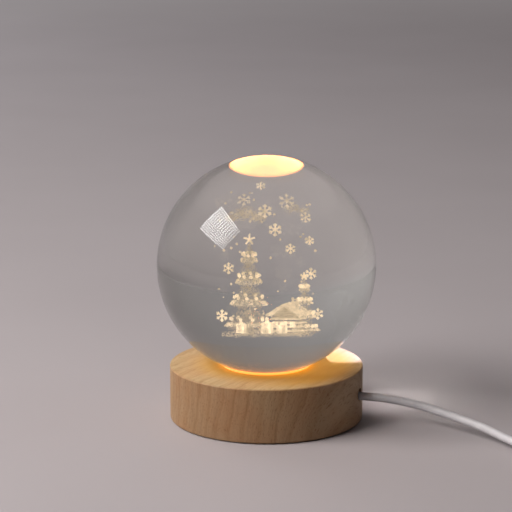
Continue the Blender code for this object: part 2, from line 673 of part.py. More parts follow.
def build_resistor():
    """The flat resistor on the underside of the board."""
    top = BOARD_BOTTOM - SEAT_GAP
    half_length = RESISTOR_LENGTH * HALF_SHARE
    half_width = RESISTOR_WIDTH * HALF_SHARE
    box("board_resistor", (RESISTOR_OFFSET - half_width, -half_length, top - RESISTOR_HEIGHT),
        (RESISTOR_OFFSET + half_width, half_length, top), RESISTOR_BLACK, None, RESISTOR_EDGE)


def build_screw(name, place, head_bottom, head_top, length, countersunk,
                shank_radius=SCREW_SHANK_RADIUS, head_radius=SCREW_HEAD_RADIUS, parent=None):
    """A pan-head or countersunk screw that points up, with a slot in its head."""
    shank_top = head_bottom + length
    rim = head_top if not countersunk else head_bottom + SCREW_SLOT_DEPTH
    outline = [
        (0, head_bottom),
        (head_radius, head_bottom),
        (head_radius, rim),
        (shank_radius, head_top),
        (shank_radius, shank_top - SCREW_TIP_LENGTH),
        (0, shank_top),
    ]
    screw = revolve(name, outline, SCREW_SIDES, ZINC_STEEL, parent, place)
    half_slot = SCREW_SLOT_WIDTH * HALF_SHARE
    reach = head_radius + CUT_OVERRUN
    slot = box(f"{name}_slot", (place[0] - reach, place[1] - half_slot, head_bottom - CUT_OVERRUN),
               (place[0] + reach, place[1] + half_slot, head_bottom + SCREW_SLOT_DEPTH),
               ZINC_STEEL, parent)
    cut(screw, slot)


def build_board_screws():
    """Pan-head screws from below, through the board into the wood."""
    head_top = BOARD_BOTTOM - SEAT_GAP
    head_bottom = head_top - SCREW_HEAD_HEIGHT
    length = BOARD_BOTTOM + BOARD_SCREW_LENGTH - head_bottom
    for i, place in enumerate(BOARD_SCREW_PLACES):
        build_screw(f"board_screw_{i + 1}", place, head_bottom, head_top, length, False)


def build_bottom_cover():
    """The fibreboard disc that closes the pocket, with countersunk screws."""
    outline = [(0, PAD_SEAT), (COVER_RADIUS, PAD_SEAT), (COVER_RADIUS, COVER_TOP), (0, COVER_TOP)]
    cover = revolve("bottom_cover", outline, COVER_SIDES, FIBRE_BOARD)
    sink_radius = SCREW_HEAD_RADIUS + SEAT_GAP
    sink_rim = PAD_SEAT + SCREW_SLOT_DEPTH + SEAT_GAP
    sink_top = PAD_SEAT + SCREW_HEAD_HEIGHT + SEAT_GAP
    outline = [
        (0, PAD_SEAT - CUT_OVERRUN),
        (sink_radius, PAD_SEAT - CUT_OVERRUN),
        (sink_radius, sink_rim),
        (SCREW_HOLE_RADIUS, sink_top),
        (SCREW_HOLE_RADIUS, COVER_TOP + CUT_OVERRUN),
        (0, COVER_TOP + CUT_OVERRUN),
    ]
    for i, place in enumerate(COVER_SCREW_PLACES):
        cut(cover, revolve(f"countersink_{i}", outline, SCREW_SIDES, FIBRE_BOARD, None, place))
        build_screw(f"cover_screw_{i + 1}", place, PAD_SEAT, PAD_SEAT + SCREW_HEAD_HEIGHT,
                    COVER_SCREW_LENGTH, True)


def build_anti_slip_pad():
    """The foam disc in the underside, a little proud of the wood."""
    outline = [
        (0, 0),
        (PAD_RADIUS - PAD_EDGE, 0),
        (PAD_RADIUS, PAD_EDGE),
        (PAD_RADIUS, PAD_THICKNESS),
        (0, PAD_THICKNESS),
    ]
    revolve("anti_slip_pad", outline, COVER_SIDES, BLACK_FOAM)


def build_lead_inside():
    """The end of the lead in the pocket, its two cores and the tie that stops a pull."""
    route = route_from((POCKET_RADIUS, 0, 0), ROUTE_INSIDE)
    inside = smooth_route(route, LEAD_RADIUS * 2)
    tube("lead_inside", inside, LEAD_RADIUS, LEAD_BEVEL_RESOLUTION, GREY_PVC)
    end = inside[-1]
    for side, name, material in ((1, "red_core", RED_PVC), (-1, "black_core", BLACK_PVC)):
        sideways = side * CORE_SPREAD
        start = end + Vector((-SEAT_GAP, sideways, 0))
        top = BOARD_BOTTOM - SEAT_GAP
        run = LEAD_RADIUS * 2
        core_route = [
            start,
            start + Vector((-run, sideways, 0)),
            start + Vector((-2 * run, 3 * sideways, run * HALF_SHARE)),
            Vector((start.x - 2 * run - LEAD_RADIUS, start.y + 4 * sideways, top - LEAD_RADIUS)),
            Vector((start.x - 2 * run - LEAD_RADIUS, start.y + 4 * sideways, top)),
        ]
        tube(name, smooth_route(core_route, CORE_RADIUS * 2), CORE_RADIUS,
             CORE_BEVEL_RESOLUTION, material)
    place = place_empty("stop_tie_place", route[-2])
    inner = LEAD_RADIUS + SEAT_GAP
    outer = inner + STOP_TIE_THICKNESS
    half = STOP_TIE_WIDTH * HALF_SHARE
    tie = cylinder("stop_tie", outer, -half, half, (1, 0, 0), (0, 0, 0), STOP_TIE_SIDES,
                   CLEAR_NYLON, place)
    half_head = STOP_TIE_HEAD * HALF_SHARE
    head_back = (inner + outer) * HALF_SHARE
    head = box("stop_tie_head", (-half_head, head_back, -half_head),
               (half_head, outer + STOP_TIE_THICKNESS, half_head), CLEAR_NYLON, place,
               STOP_TIE_HEAD_EDGE)
    join(tie, head)
    cut(tie, cylinder("stop_tie_bore", inner, -half - CUT_OVERRUN, half + CUT_OVERRUN, (1, 0, 0),
                      (0, 0, 0), STOP_TIE_SIDES, CLEAR_NYLON, place))


def coil_point(turns):
    """A point of the coil's centre line after a number of turns."""
    layer = min(int(turns / COIL_TURNS_PER_LAYER), COIL_LAYERS - 1)
    along = turns - layer * COIL_TURNS_PER_LAYER
    if layer % 2 == 0:
        radius = COIL_OUTER_RADIUS - COIL_PITCH * along
    else:
        radius = COIL_INNER_RADIUS + COIL_PITCH * along
    climbed = 0
    for reversal in range(1, COIL_LAYERS):
        past = (turns - reversal * COIL_TURNS_PER_LAYER) / COIL_CLIMB_TURNS + HALF_SHARE
        climbed += min(max(past, 0), 1)
    angle = COIL_START_ANGLE + FULL_TURN * turns
    height = COIL_FIRST_HEIGHT + COIL_PITCH * climbed
    return COIL_CENTRE + Vector((radius * math.cos(angle), radius * math.sin(angle), height))


def coil_points():
    """All points of the coil, with a straight run of one lead diameter at each end."""
    total = COIL_LAYERS * COIL_TURNS_PER_LAYER
    count = round(total * COIL_POINTS_PER_TURN)
    points = [coil_point(total * i / count) for i in range(count + 1)]
    straight = LEAD_RADIUS * 2
    first = Vector((points[0].x - points[1].x, points[0].y - points[1].y, 0)).normalized()
    last = Vector((points[-1].x - points[-2].x, points[-1].y - points[-2].y, 0)).normalized()
    return [points[0] + first * straight] + points + [points[-1] + last * straight]


def least_gap(points, diameter):
    """Least distance between turns that lie beside each other, from face to face."""
    apart = COIL_POINTS_PER_TURN // 2
    least = min((points[i] - points[j]).length
                for i in range(len(points)) for j in range(i + apart, len(points)))
    return least - diameter


def route_length(points):
    return sum((b - a).length for a, b in zip(points, points[1:]))


def build_lead_outside():
    """The free stretches of the lead and the coil in which most of it is put away."""
    coil = coil_points()
    tube("lead_coil", coil, LEAD_RADIUS, COIL_BEVEL_RESOLUTION, GREY_PVC)
    into_coil = (coil[1] - coil[0]).normalized()
    out_of_coil = (coil[-1] - coil[-2]).normalized()
    run_end = coil[0] - into_coil * SEAT_GAP
    run_start = coil[-1] + out_of_coil * SEAT_GAP
    straight = LEAD_RADIUS * 2
    first = route_from(LEAD_MOUTH, ROUTE_TO_COIL) + [run_end - into_coil * straight, run_end]
    second = [run_start, run_start + out_of_coil * straight]
    second += route_from(COIL_CENTRE, ROUTE_TO_SWITCH)
    half = SWITCH_LENGTH * HALF_SHARE
    switch_height = Vector((0, 0, SWITCH_LEAD_HEIGHT))
    grip_in = SWITCH_PLACE + Vector((0, LEAD_GRIP_DEPTH - half, 0)) + switch_height
    grip_out = SWITCH_PLACE + Vector((0, half - LEAD_GRIP_DEPTH, 0)) + switch_height
    second.append(SWITCH_PLACE + Vector((0, -half, 0)) + switch_height)
    second.append(grip_in)
    plug_end = PLUG_PLACE + Vector((SEAT_GAP - LEAD_GRIP_DEPTH, 0, 0))
    third = [grip_out, SWITCH_PLACE + Vector((0, half, 0)) + switch_height]
    third += route_from(COIL_CENTRE, ROUTE_TO_PLUG)
    third += [PLUG_PLACE, plug_end]
    total = route_length(coil)
    for name, route in (("lead_to_coil", first), ("lead_to_switch", second),
                        ("lead_to_plug", third)):
        points = smooth_route(route, LEAD_POINT_STEP)
        tube(name, points, LEAD_RADIUS, LEAD_BEVEL_RESOLUTION, GREY_PVC)
        total += route_length(points)
        print(name, "length", round(route_length(points), 4))
    print("coil length", round(route_length(coil), 4), "lead outside the base", round(total, 4))
    print("least gap in the coil", round(least_gap(coil, LEAD_RADIUS * 2), 5))


def rounded_rectangle(low, high, radius, steps):
    """Corner arcs of a rectangle between two (u, v) corners."""
    corners = [
        ((high[0] - radius, high[1] - radius), 0),
        ((low[0] + radius, high[1] - radius), math.pi / 2),
        ((low[0] + radius, low[1] + radius), math.pi),
        ((high[0] - radius, low[1] + radius), 3 * math.pi / 2),
    ]
    points = []
    for centre, start in corners:
        points += arc(centre, radius, start, start + math.pi / 2, steps)
    return points


def build_coil_tie():
    """A flat strap closed round the coil's turns at one place."""
    place = place_empty("coil_tie_place", COIL_CENTRE, COIL_TIE_ANGLE)
    turns_low = (COIL_INNER_RADIUS - LEAD_RADIUS - SEAT_GAP, COIL_FLOOR - SEAT_GAP)
    turns_high = (COIL_OUTER_RADIUS + LEAD_RADIUS + SEAT_GAP,
                  COIL_LAST_HEIGHT + LEAD_RADIUS + SEAT_GAP)
    grow = COIL_TIE_THICKNESS
    inner = rounded_rectangle(turns_low, turns_high, COIL_TIE_ROUND, COIL_TIE_ARC_STEPS)
    outer = rounded_rectangle((turns_low[0] - grow, turns_low[1] - grow),
                              (turns_high[0] + grow, turns_high[1] + grow),
                              COIL_TIE_ROUND + grow, COIL_TIE_ARC_STEPS)
    bm = bmesh.new()
    half = COIL_TIE_WIDTH * HALF_SHARE
    loops = []
    for outline, side in ((inner, -half), (outer, -half), (outer, half), (inner, half)):
        loops.append([bm.verts.new((u, side, v)) for u, v in outline])
    for one, two in zip(loops, loops[1:] + loops[:1]):
        for i in range(len(one)):
            following = (i + 1) % len(one)
            bm.faces.new((one[i], one[following], two[following], two[i]))
    link("coil_tie", mesh_from(bm, "coil_tie"), CLEAR_NYLON, place)


def pod(name, length, end_half_width, half_width, end_height, height, skirt, up, parent):
    """Half of the switch body: a crowned shape over a flat split plane at height zero."""
    bm = bmesh.new()
    rows = []
    for i in range(SWITCH_STATIONS + 1):
        share = 2 * i / SWITCH_STATIONS - 1
        swell = abs(math.cos(share * math.pi / 2)) ** SWITCH_SWELL_SHARE
        wide = end_half_width + (half_width - end_half_width) * swell
        tall = end_height + (height - end_height) * swell
        row = [(length * HALF_SHARE * share, -wide, -skirt * up)]
        for j in range(SWITCH_ARC_STEPS + 1):
            angle = math.pi * (1 - j / SWITCH_ARC_STEPS)
            c, s = math.cos(angle), math.sin(angle)
            across = math.copysign(abs(c) ** (2 / SWITCH_SQUARENESS), c) * wide
            rise = abs(s) ** (2 / SWITCH_SQUARENESS) * tall
            row.append((row[0][0], across, up * rise))
        row.append((row[0][0], wide, -skirt * up))
        rows.append([bm.verts.new(p) for p in row])
    for one, two in zip(rows, rows[1:]):
        for i in range(len(one)):
            following = (i + 1) % len(one)
            bm.faces.new((one[i], one[following], two[following], two[i]))
    bm.faces.new(rows[0])
    bm.faces.new(rows[-1])
    return link(name, mesh_from(bm, name), WHITE_PLASTIC, parent)


def hollow_half(name, split, up, parent):
    """One moulded shell half of the switch, with its cavity and the lead's two grooves."""
    split_place = place_empty(f"{name}_split", (0, 0, split), parent=parent)
    end_half = SWITCH_END_WIDTH * HALF_SHARE
    half = SWITCH_WIDTH * HALF_SHARE
    shell = pod(name, SWITCH_LENGTH, end_half, half, SWITCH_END_HALF_HEIGHT,
                SWITCH_HALF_HEIGHT, 0, up, split_place)
    cavity = pod(f"{name}_cavity", SWITCH_LENGTH - 2 * LEAD_GRIP_DEPTH, end_half - SWITCH_WALL,
                 half - SWITCH_WALL, SWITCH_END_HALF_HEIGHT - SWITCH_WALL,
                 SWITCH_HALF_HEIGHT - SWITCH_WALL, CUT_OVERRUN, up, split_place)
    cut(shell, cavity)
    reach = SWITCH_LENGTH * HALF_SHARE + CUT_OVERRUN
    cut(shell, cylinder(f"{name}_groove", LEAD_HOLE_RADIUS, -reach, reach, (1, 0, 0),
                        (0, 0, SWITCH_LEAD_HEIGHT), ROUND_SIDES, WHITE_PLASTIC, parent))
    return shell


SWITCH_SCREW_PLACES = [(SWITCH_SCREW_ALONG, SWITCH_SCREW_ACROSS),
                       (-SWITCH_SCREW_ALONG, -SWITCH_SCREW_ACROSS)]
SWITCH_HEAD_BOTTOM = SWITCH_HEAD_SINK
SWITCH_HOLE_RADIUS = SWITCH_SCREW_SHANK_RADIUS + SEAT_GAP
SWITCH_HEAD_HOLE_RADIUS = SWITCH_SCREW_HEAD_RADIUS + SEAT_GAP


def build_switch_lower(parent):
    """The lower shell: contact deck and two bosses that the screws pass through."""
    shell = hollow_half("switch_lower", SPLIT_LOW, -1, parent)
    floor = SWITCH_WALL * EMBED_SHARE
    join(shell, box("contact_deck", (-DECK_HALF_LENGTH, -DECK_HALF_WIDTH, floor),
                    (DECK_HALF_LENGTH, DECK_HALF_WIDTH, DECK_HEIGHT), WHITE_PLASTIC, parent))
    head_seat = SWITCH_HEAD_BOTTOM + SCREW_HEAD_HEIGHT + SEAT_GAP
    for i, (x, y) in enumerate(SWITCH_SCREW_PLACES):
        join(shell, cylinder(f"lower_boss_{i}", SWITCH_HEAD_HOLE_RADIUS + SWITCH_BOSS_WALL,
                             floor, SPLIT_LOW - SEAT_GAP, (0, 0, 1), (x, y, 0), ROUND_SIDES,
                             WHITE_PLASTIC, parent))
        cut(shell, cylinder(f"lower_head_{i}", SWITCH_HEAD_HOLE_RADIUS, -CUT_OVERRUN,
                            head_seat, (0, 0, 1), (x, y, 0), ROUND_SIDES, WHITE_PLASTIC, parent))
        cut(shell, cylinder(f"lower_hole_{i}", SWITCH_HOLE_RADIUS, 0, SPLIT_LOW + CUT_OVERRUN,
                            (0, 0, 1), (x, y, 0), SCREW_SIDES, WHITE_PLASTIC, parent))


def build_switch_upper(parent):
    """The upper shell: rocker window, bearing ears for its pins and two screw bosses."""
    shell = hollow_half("switch_upper", SPLIT_HIGH, 1, parent)
    roof = SWITCH_TOP - SWITCH_WALL * HALF_SHARE
    window_half_width = ROCKER_WIDTH * HALF_SHARE + SEAT_GAP
    window_half_length = ROCKER_LENGTH * HALF_SHARE + ROCKER_END_CLEARANCE
    for side in (-1, 1):
        near, far = window_half_width * side, (window_half_width + EAR_THICKNESS) * side
        join(shell, box(f"bearing_ear_{side}",
                        (-EAR_HALF_LENGTH, min(near, far), ROCKER_PIVOT_HEIGHT - EAR_DROP),
                        (EAR_HALF_LENGTH, max(near, far), roof), WHITE_PLASTIC, parent))
    cut(shell, box("rocker_window", (-window_half_length, -window_half_width, SPLIT_HIGH),
                   (window_half_length, window_half_width, SWITCH_TOP + CUT_OVERRUN),
                   WHITE_PLASTIC, parent))
    pin_reach = ROCKER_WIDTH * HALF_SHARE + ROCKER_PIN_REACH + SEAT_GAP
    cut(shell, cylinder("pin_bore", ROCKER_PIN_RADIUS + SEAT_GAP, -pin_reach, pin_reach,
                        (0, 1, 0), (0, 0, ROCKER_PIVOT_HEIGHT), SCREW_SIDES, WHITE_PLASTIC,
                        parent))
    screw_tip = SWITCH_HEAD_BOTTOM + SWITCH_SCREW_LENGTH
    for i, (x, y) in enumerate(SWITCH_SCREW_PLACES):
        join(shell, cylinder(f"upper_boss_{i}", SWITCH_HOLE_RADIUS + 2 * SWITCH_BOSS_WALL,
                             SPLIT_HIGH + SEAT_GAP, roof - SWITCH_WALL * HALF_SHARE, (0, 0, 1),
                             (x, y, 0), ROUND_SIDES, WHITE_PLASTIC, parent))
        cut(shell, cylinder(f"upper_hole_{i}", SWITCH_HOLE_RADIUS, SPLIT_HIGH - CUT_OVERRUN,
                            screw_tip + SEAT_GAP, (0, 0, 1), (x, y, 0), SCREW_SIDES,
                            WHITE_PLASTIC, parent))


def build_switch_rocker(parent):
    """The rocker on its pins. It rests tilted towards ON, as the lamp is lit."""
    axis = place_empty("rocker_axis", (0, 0, ROCKER_PIVOT_HEIGHT), parent=parent)
    axis.rotation_euler = (0, ROCKER_TILT, 0)
    half = ROCKER_LENGTH * HALF_SHARE
    outline = []
    for i in range(ROCKER_TOP_STEPS + 1):
        share = 2 * i / ROCKER_TOP_STEPS - 1
        rise = ROCKER_MIDDLE_RISE + (ROCKER_END_RISE - ROCKER_MIDDLE_RISE) * share ** 2
        outline.append((half * share, rise))
    outline += [
        (half, -ROCKER_SKIRT_DROP),
        (ROCKER_NUB_PLACE + 2 * ROCKER_NUB_HALF_LENGTH, -ROCKER_SKIRT_DROP),
        (ROCKER_NUB_PLACE + ROCKER_NUB_HALF_LENGTH, -ROCKER_NUB_DROP),
        (ROCKER_NUB_PLACE - ROCKER_NUB_HALF_LENGTH, -ROCKER_NUB_DROP),
        (ROCKER_KEEL_HALF_LENGTH, -ROCKER_KEEL_DROP),
        (-ROCKER_KEEL_HALF_LENGTH, -ROCKER_KEEL_DROP),
        (-half, -ROCKER_SKIRT_DROP),
    ]
    rocker = extrude_outline("switch_rocker", outline, ROCKER_WIDTH * HALF_SHARE, WHITE_PLASTIC,
                             axis)
    reach = ROCKER_WIDTH * HALF_SHARE + ROCKER_PIN_REACH
    join(rocker, cylinder("rocker_pin", ROCKER_PIN_RADIUS, -reach, reach, (0, 1, 0), (0, 0, 0),
                          SCREW_SIDES, WHITE_PLASTIC, axis))


def strip_outline(centre_line):
    """A bent strip of the contact's thickness over a row of (x, height) points."""
    upper = [(x, z + CONTACT_THICKNESS) for x, z in reversed(centre_line)]
    return list(centre_line) + upper


def build_switch_contacts(parent):
    """The long spring leaf under the rocker's nub, and the fixed contact below its tip."""
    low = DECK_HEIGHT + SEAT_GAP
    high = low + CONTACT_THICKNESS + SEAT_GAP
    leaf = [(-CONTACT_END, low), (CONTACT_RAMP_START, low), (CONTACT_RAMP_END, high),
            (CONTACT_LEAF_END, high)]
    fixed = [(CONTACT_LAP, low), (CONTACT_END, low)]
    for name, line in (("switch_leaf", leaf), ("switch_fixed_contact", fixed)):
        extrude_outline(name, strip_outline(line), CONTACT_WIDTH * HALF_SHARE, BRASS, parent)


def build_switch():
    """All pieces of the in-line switch, placed together beside the coil."""
    place = place_empty("switch_place", SWITCH_PLACE, SWITCH_TURN)
    build_switch_lower(place)
    build_switch_upper(place)
    build_switch_rocker(place)
    build_switch_contacts(place)
    for i, screw_place in enumerate(SWITCH_SCREW_PLACES):
        build_screw(f"switch_screw_{i + 1}", screw_place, SWITCH_HEAD_BOTTOM,
                    SWITCH_HEAD_BOTTOM + SCREW_HEAD_HEIGHT, SWITCH_SCREW_LENGTH, False,
                    SWITCH_SCREW_SHANK_RADIUS, SWITCH_SCREW_HEAD_RADIUS, place)


def relief_outline():
    """The ribbed, tapered strain relief as a turned outline along the plug's axis."""
    outline = [(0, 0), (RELIEF_SMALL_RADIUS, 0)]
    pitch = RELIEF_LENGTH / (RELIEF_GROOVES + 1)
    for i in range(1, RELIEF_GROOVES + 1):
        along = pitch * i
        growth = (RELIEF_BIG_RADIUS - RELIEF_SMALL_RADIUS) * along / RELIEF_LENGTH
        radius = RELIEF_SMALL_RADIUS + growth
        half = pitch * RELIEF_GROOVE_SHARE
        outline += [(radius, along - half), (radius - RELIEF_GROOVE_DEPTH, along - half),
                    (radius - RELIEF_GROOVE_DEPTH, along + half), (radius, along + half)]
    return outline + [(RELIEF_BIG_RADIUS, RELIEF_LENGTH), (RELIEF_BIG_RADIUS, RELIEF_LENGTH * 2),
                      (0, RELIEF_LENGTH * 2)]


def build_plug_overmould(parent):
    """The soft grip of the plug with its strain relief, and the seat of the metal shell."""
    half_width, half_height = PLUG_WIDTH * HALF_SHARE, PLUG_HEIGHT * HALF_SHARE
    grip = box("plug_overmould", (RELIEF_LENGTH, -half_width, -half_height),
               (RELIEF_LENGTH + PLUG_LENGTH, half_width, half_height), GREY_PVC, parent,
               PLUG_EDGE, PLUG_EDGE_STEPS)
    relief = revolve("plug_relief", relief_outline(), RELIEF_SIDES, GREY_PVC, parent)
    relief.rotation_euler = (0, math.pi / 2, 0)
    join(grip, relief)
    cut(grip, cylinder("plug_lead_hole", LEAD_HOLE_RADIUS, -CUT_OVERRUN,
                       LEAD_GRIP_DEPTH + CUT_OVERRUN, (1, 0, 0), (0, 0, 0), ROUND_SIDES,
                       GREY_PVC, parent))
    front = RELIEF_LENGTH + PLUG_LENGTH
    seat_width = USB_WIDTH * HALF_SHARE + SEAT_GAP
    seat_height = USB_HEIGHT * HALF_SHARE + SEAT_GAP
    cut(grip, box("plug_shell_seat", (front - USB_SEAT_DEPTH, -seat_width, -seat_height),
                  (front + CUT_OVERRUN, seat_width, seat_height), GREY_PVC, parent))


def build_plug_shell(parent):
    """The folded metal shell of the plug, with its four latch windows."""
    back = RELIEF_LENGTH + PLUG_LENGTH - USB_SEAT_DEPTH + SEAT_GAP
    tip = RELIEF_LENGTH + PLUG_LENGTH + USB_LENGTH
    half_width, half_height = USB_WIDTH * HALF_SHARE, USB_HEIGHT * HALF_SHARE
    shell = box("plug_shell", (back, -half_width, -half_height), (tip, half_width, half_height),
                NICKEL_STEEL, parent)
    cut(shell, box("plug_mouth",
                   (back - CUT_OVERRUN, USB_WALL - half_width, USB_WALL - half_height),
                   (tip + CUT_OVERRUN, half_width - USB_WALL, half_height - USB_WALL),
                   NICKEL_STEEL, parent))
    for side in (-1, 1):
        middle = USB_WINDOW_ACROSS * side
        cut(shell, box(f"plug_window_{side}",
                       (tip - USB_WINDOW_PLACE - USB_WINDOW_LENGTH,
                        middle - USB_WINDOW_WIDTH * HALF_SHARE, -half_height - CUT_OVERRUN),
                       (tip - USB_WINDOW_PLACE, middle + USB_WINDOW_WIDTH * HALF_SHARE,
                        half_height + CUT_OVERRUN), NICKEL_STEEL, parent))


def build_plug_insides(parent):
    """The insulating tongue in the metal shell and its four contact strips."""
    back = RELIEF_LENGTH + PLUG_LENGTH - USB_SEAT_DEPTH + SEAT_GAP
    tip = RELIEF_LENGTH + PLUG_LENGTH + USB_LENGTH - USB_TONGUE_SHORT
    half_width = USB_WIDTH * HALF_SHARE - USB_WALL - SEAT_GAP
    bottom = USB_WALL + SEAT_GAP - USB_HEIGHT * HALF_SHARE
    top = -bottom
    tongue_top = bottom + USB_TONGUE_THICKNESS
    block_end = back + USB_BLOCK_LENGTH
    outline = [(back, bottom), (tip, bottom), (tip, tongue_top), (block_end, tongue_top),
               (block_end, top), (back, top)]
    extrude_outline("plug_tongue", outline, half_width, BLACK_INSULATOR, parent)
    low = tongue_top + SEAT_GAP
    places = (-USB_CONTACT_OUTER, -USB_CONTACT_INNER, USB_CONTACT_INNER, USB_CONTACT_OUTER)
    for i, across in enumerate(places):
        box(f"plug_contact_{i + 1}",
            (block_end + SEAT_GAP, across - USB_CONTACT_WIDTH * HALF_SHARE, low),
            (block_end + SEAT_GAP + USB_CONTACT_LENGTH, across + USB_CONTACT_WIDTH * HALF_SHARE,
             low + USB_CONTACT_THICKNESS), BRASS, parent)


def build_plug():
    """All pieces of the USB plug, which lies with its tip towards the lamp."""
    place = place_empty("plug_place", PLUG_PLACE, PLUG_TURN)
    build_plug_overmould(place)
    build_plug_shell(place)
    build_plug_insides(place)


build_crystal_ball()
build_wooden_base()
build_light_diffuser()
build_led_board()
build_led_chips()
build_resistor()
build_board_screws()
build_bottom_cover()
build_anti_slip_pad()
build_lead_inside()
build_lead_outside()
build_coil_tie()
build_switch()
build_plug()
print("ball centre height", round(BALL_CENTRE_HEIGHT, 5))
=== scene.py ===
import math
import random

import bmesh
import bpy
from mathutils import Matrix, Vector


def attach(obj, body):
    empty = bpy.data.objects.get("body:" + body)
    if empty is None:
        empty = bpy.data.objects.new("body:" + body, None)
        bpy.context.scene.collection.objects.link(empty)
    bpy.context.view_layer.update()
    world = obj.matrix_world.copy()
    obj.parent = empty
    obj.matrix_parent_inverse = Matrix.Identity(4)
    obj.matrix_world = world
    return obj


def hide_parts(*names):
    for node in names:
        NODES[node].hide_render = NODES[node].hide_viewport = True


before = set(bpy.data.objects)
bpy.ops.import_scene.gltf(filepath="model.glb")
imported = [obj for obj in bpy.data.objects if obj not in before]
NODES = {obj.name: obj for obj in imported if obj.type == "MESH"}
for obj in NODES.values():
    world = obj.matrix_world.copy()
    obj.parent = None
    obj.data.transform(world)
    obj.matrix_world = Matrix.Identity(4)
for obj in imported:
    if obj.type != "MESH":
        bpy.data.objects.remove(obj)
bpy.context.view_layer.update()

# ---- Wooden base -------------------------------------------------------------------------
# A disc turned from one piece of beech and oiled thinly, with a light hole on top, a stepped pocket
# below and a bore for the lead. The fibres run from front to back, so the front shows end grain.
# The light at the ball's foot is painted onto the wood round the hole: a painted glow, and an amber
# tint painted into the wood's colour.
BASE_TOP = 0.0203
FIBRE_TURN = math.radians(-14)
FIBRE_DIRECTION = (-math.sin(FIBRE_TURN), math.cos(FIBRE_TURN), 0)
GROWTH_LEAN = math.radians(10)
# pools of painted light on the top: the radius up to which each is full, the radius where it is
# gone, and how strongly it glows. The wide one lies on the lead's side only
NEAR_POOL, NEAR_GLOW = (0.0165, 0.0235), 0.05
WIDE_POOL, WIDE_GLOW = (0.0270, 0.0375), 0.125
DIRECT_POOL, DIRECT_GLOW = (0.0180, 0.0330), 0.055
MIRRORED_POOL, MIRRORED_GLOW = (0.0180, 0.0215), 0.20
# painted light: within this pool the top's colour turns amber, as if lit by the lamp
AMBER_LIGHT_POOL = (0.0180, 0.0300)
LEAD_SIDE, LEAD_SIDE_FADE = (0.93, 0.05, 0), (-0.006, 0.024)
GLOW_COLOUR = (1.0, 0.42, 0.02)


def give(node, inputs):
    """Set a node's inputs. Each is a value, or a socket that is linked to it."""
    for name, value in inputs.items():
        if isinstance(value, bpy.types.NodeSocket):
            node.id_data.links.new(value, node.inputs[name])
        else:
            node.inputs[name].default_value = value


def put(tree, kind, inputs=None, **settings):
    """Add a node with its settings and its inputs."""
    node = tree.nodes.new(kind)
    for name, value in settings.items():
        setattr(node, name, value)
    give(node, inputs or {})
    return node


def feed(shader, **inputs):
    """Set a shader's inputs, whose names are written with _ for a space."""
    give(shader, {name.replace("_", " "): value for name, value in inputs.items()})


def new_finish(name, **inputs):
    """A material, its tree and its shader."""
    finish = bpy.data.materials.new(name)
    finish.use_nodes = True
    shader = finish.node_tree.nodes["Principled BSDF"]
    feed(shader, **inputs)
    return finish, finish.node_tree, shader


def maths(tree, operation, *values):
    """What a Math node makes of the values."""
    return put(tree, "ShaderNodeMath", dict(enumerate(values)), operation=operation).outputs[0]


def vectors(tree, operation, *values):
    """What a Vector Math node makes of the values: a number for a length or a dot product."""
    node = put(tree, "ShaderNodeVectorMath", dict(enumerate(values)), operation=operation)
    return node.outputs["Value" if operation in ("LENGTH", "DOT_PRODUCT") else "Vector"]


def scaled(tree, vector, scale):
    return put(tree, "ShaderNodeVectorMath", {0: vector, "Scale": scale},
               operation="SCALE").outputs["Vector"]


def mix(tree, share, first, second, blend="MIX"):
    """The first colour, with a share of the second mixed or multiplied in."""
    return put(tree, "ShaderNodeMixRGB", {"Fac": share, "Color1": first, "Color2": second},
               blend_type=blend).outputs[0]


def noise(tree, place, scale, **inputs):
    return put(tree, "ShaderNodeTexNoise", {"Vector": place, "Scale": scale,
                                            **inputs}).outputs["Fac"]


def between(tree, value, low, high, start=0.0, end=1.0, curve="LINEAR"):
    """Start where a value is low, end where it is high, and all that lies between."""
    return put(tree, "ShaderNodeMapRange", {"Value": value, "From Min": low, "From Max": high,
                                            "To Min": start, "To Max": end},
               interpolation_type=curve).outputs[0]


def ramp(tree, factor, *stops):
    """A colour ramp over a factor, from (place, colour) stops. A single number is a grey."""
    node = put(tree, "ShaderNodeValToRGB", {"Fac": factor})
    band = node.color_ramp.elements
    for place, colour in stops[1:-1]:
        band.new(place)
    for element, (place, colour) in zip(band, stops):
        element.position = place
        element.color = (*(colour if isinstance(colour, tuple) else (colour,) * 3), 1)
    return node.outputs["Color"]


def object_place(tree):
    return put(tree, "ShaderNodeTexCoord").outputs["Object"]


def object_facing(tree):
    return put(tree, "ShaderNodeTexCoord").outputs["Normal"]


def stretched(tree, place, scale):
    """A place whose pattern is finer along the axes with the higher scale."""
    return put(tree, "ShaderNodeMapping", {"Vector": place, "Scale": scale}).outputs["Vector"]


def height_of(tree, place):
    return put(tree, "ShaderNodeSeparateXYZ", {"Vector": place}).outputs["Z"]


def plan_of(tree, place):
    """A place in plan, and its distance from the lamp's axis."""
    spot = put(tree, "ShaderNodeSeparateXYZ", {"Vector": place}).outputs
    plan = put(tree, "ShaderNodeCombineXYZ", {"X": spot["X"], "Y": spot["Y"]}).outputs[0]
    return plan, vectors(tree, "LENGTH", plan)


def raise_surface(shader, height, strength, distance=0.0001, over=None):
    """Give a shader a relief, over one that it has already if that is named."""
    inputs = {"Strength": strength, "Distance": distance, "Height": height}
    if over is not None:
        inputs["Normal"] = over
    feed(shader, Normal=put(shader.id_data, "ShaderNodeBump", inputs).outputs["Normal"])


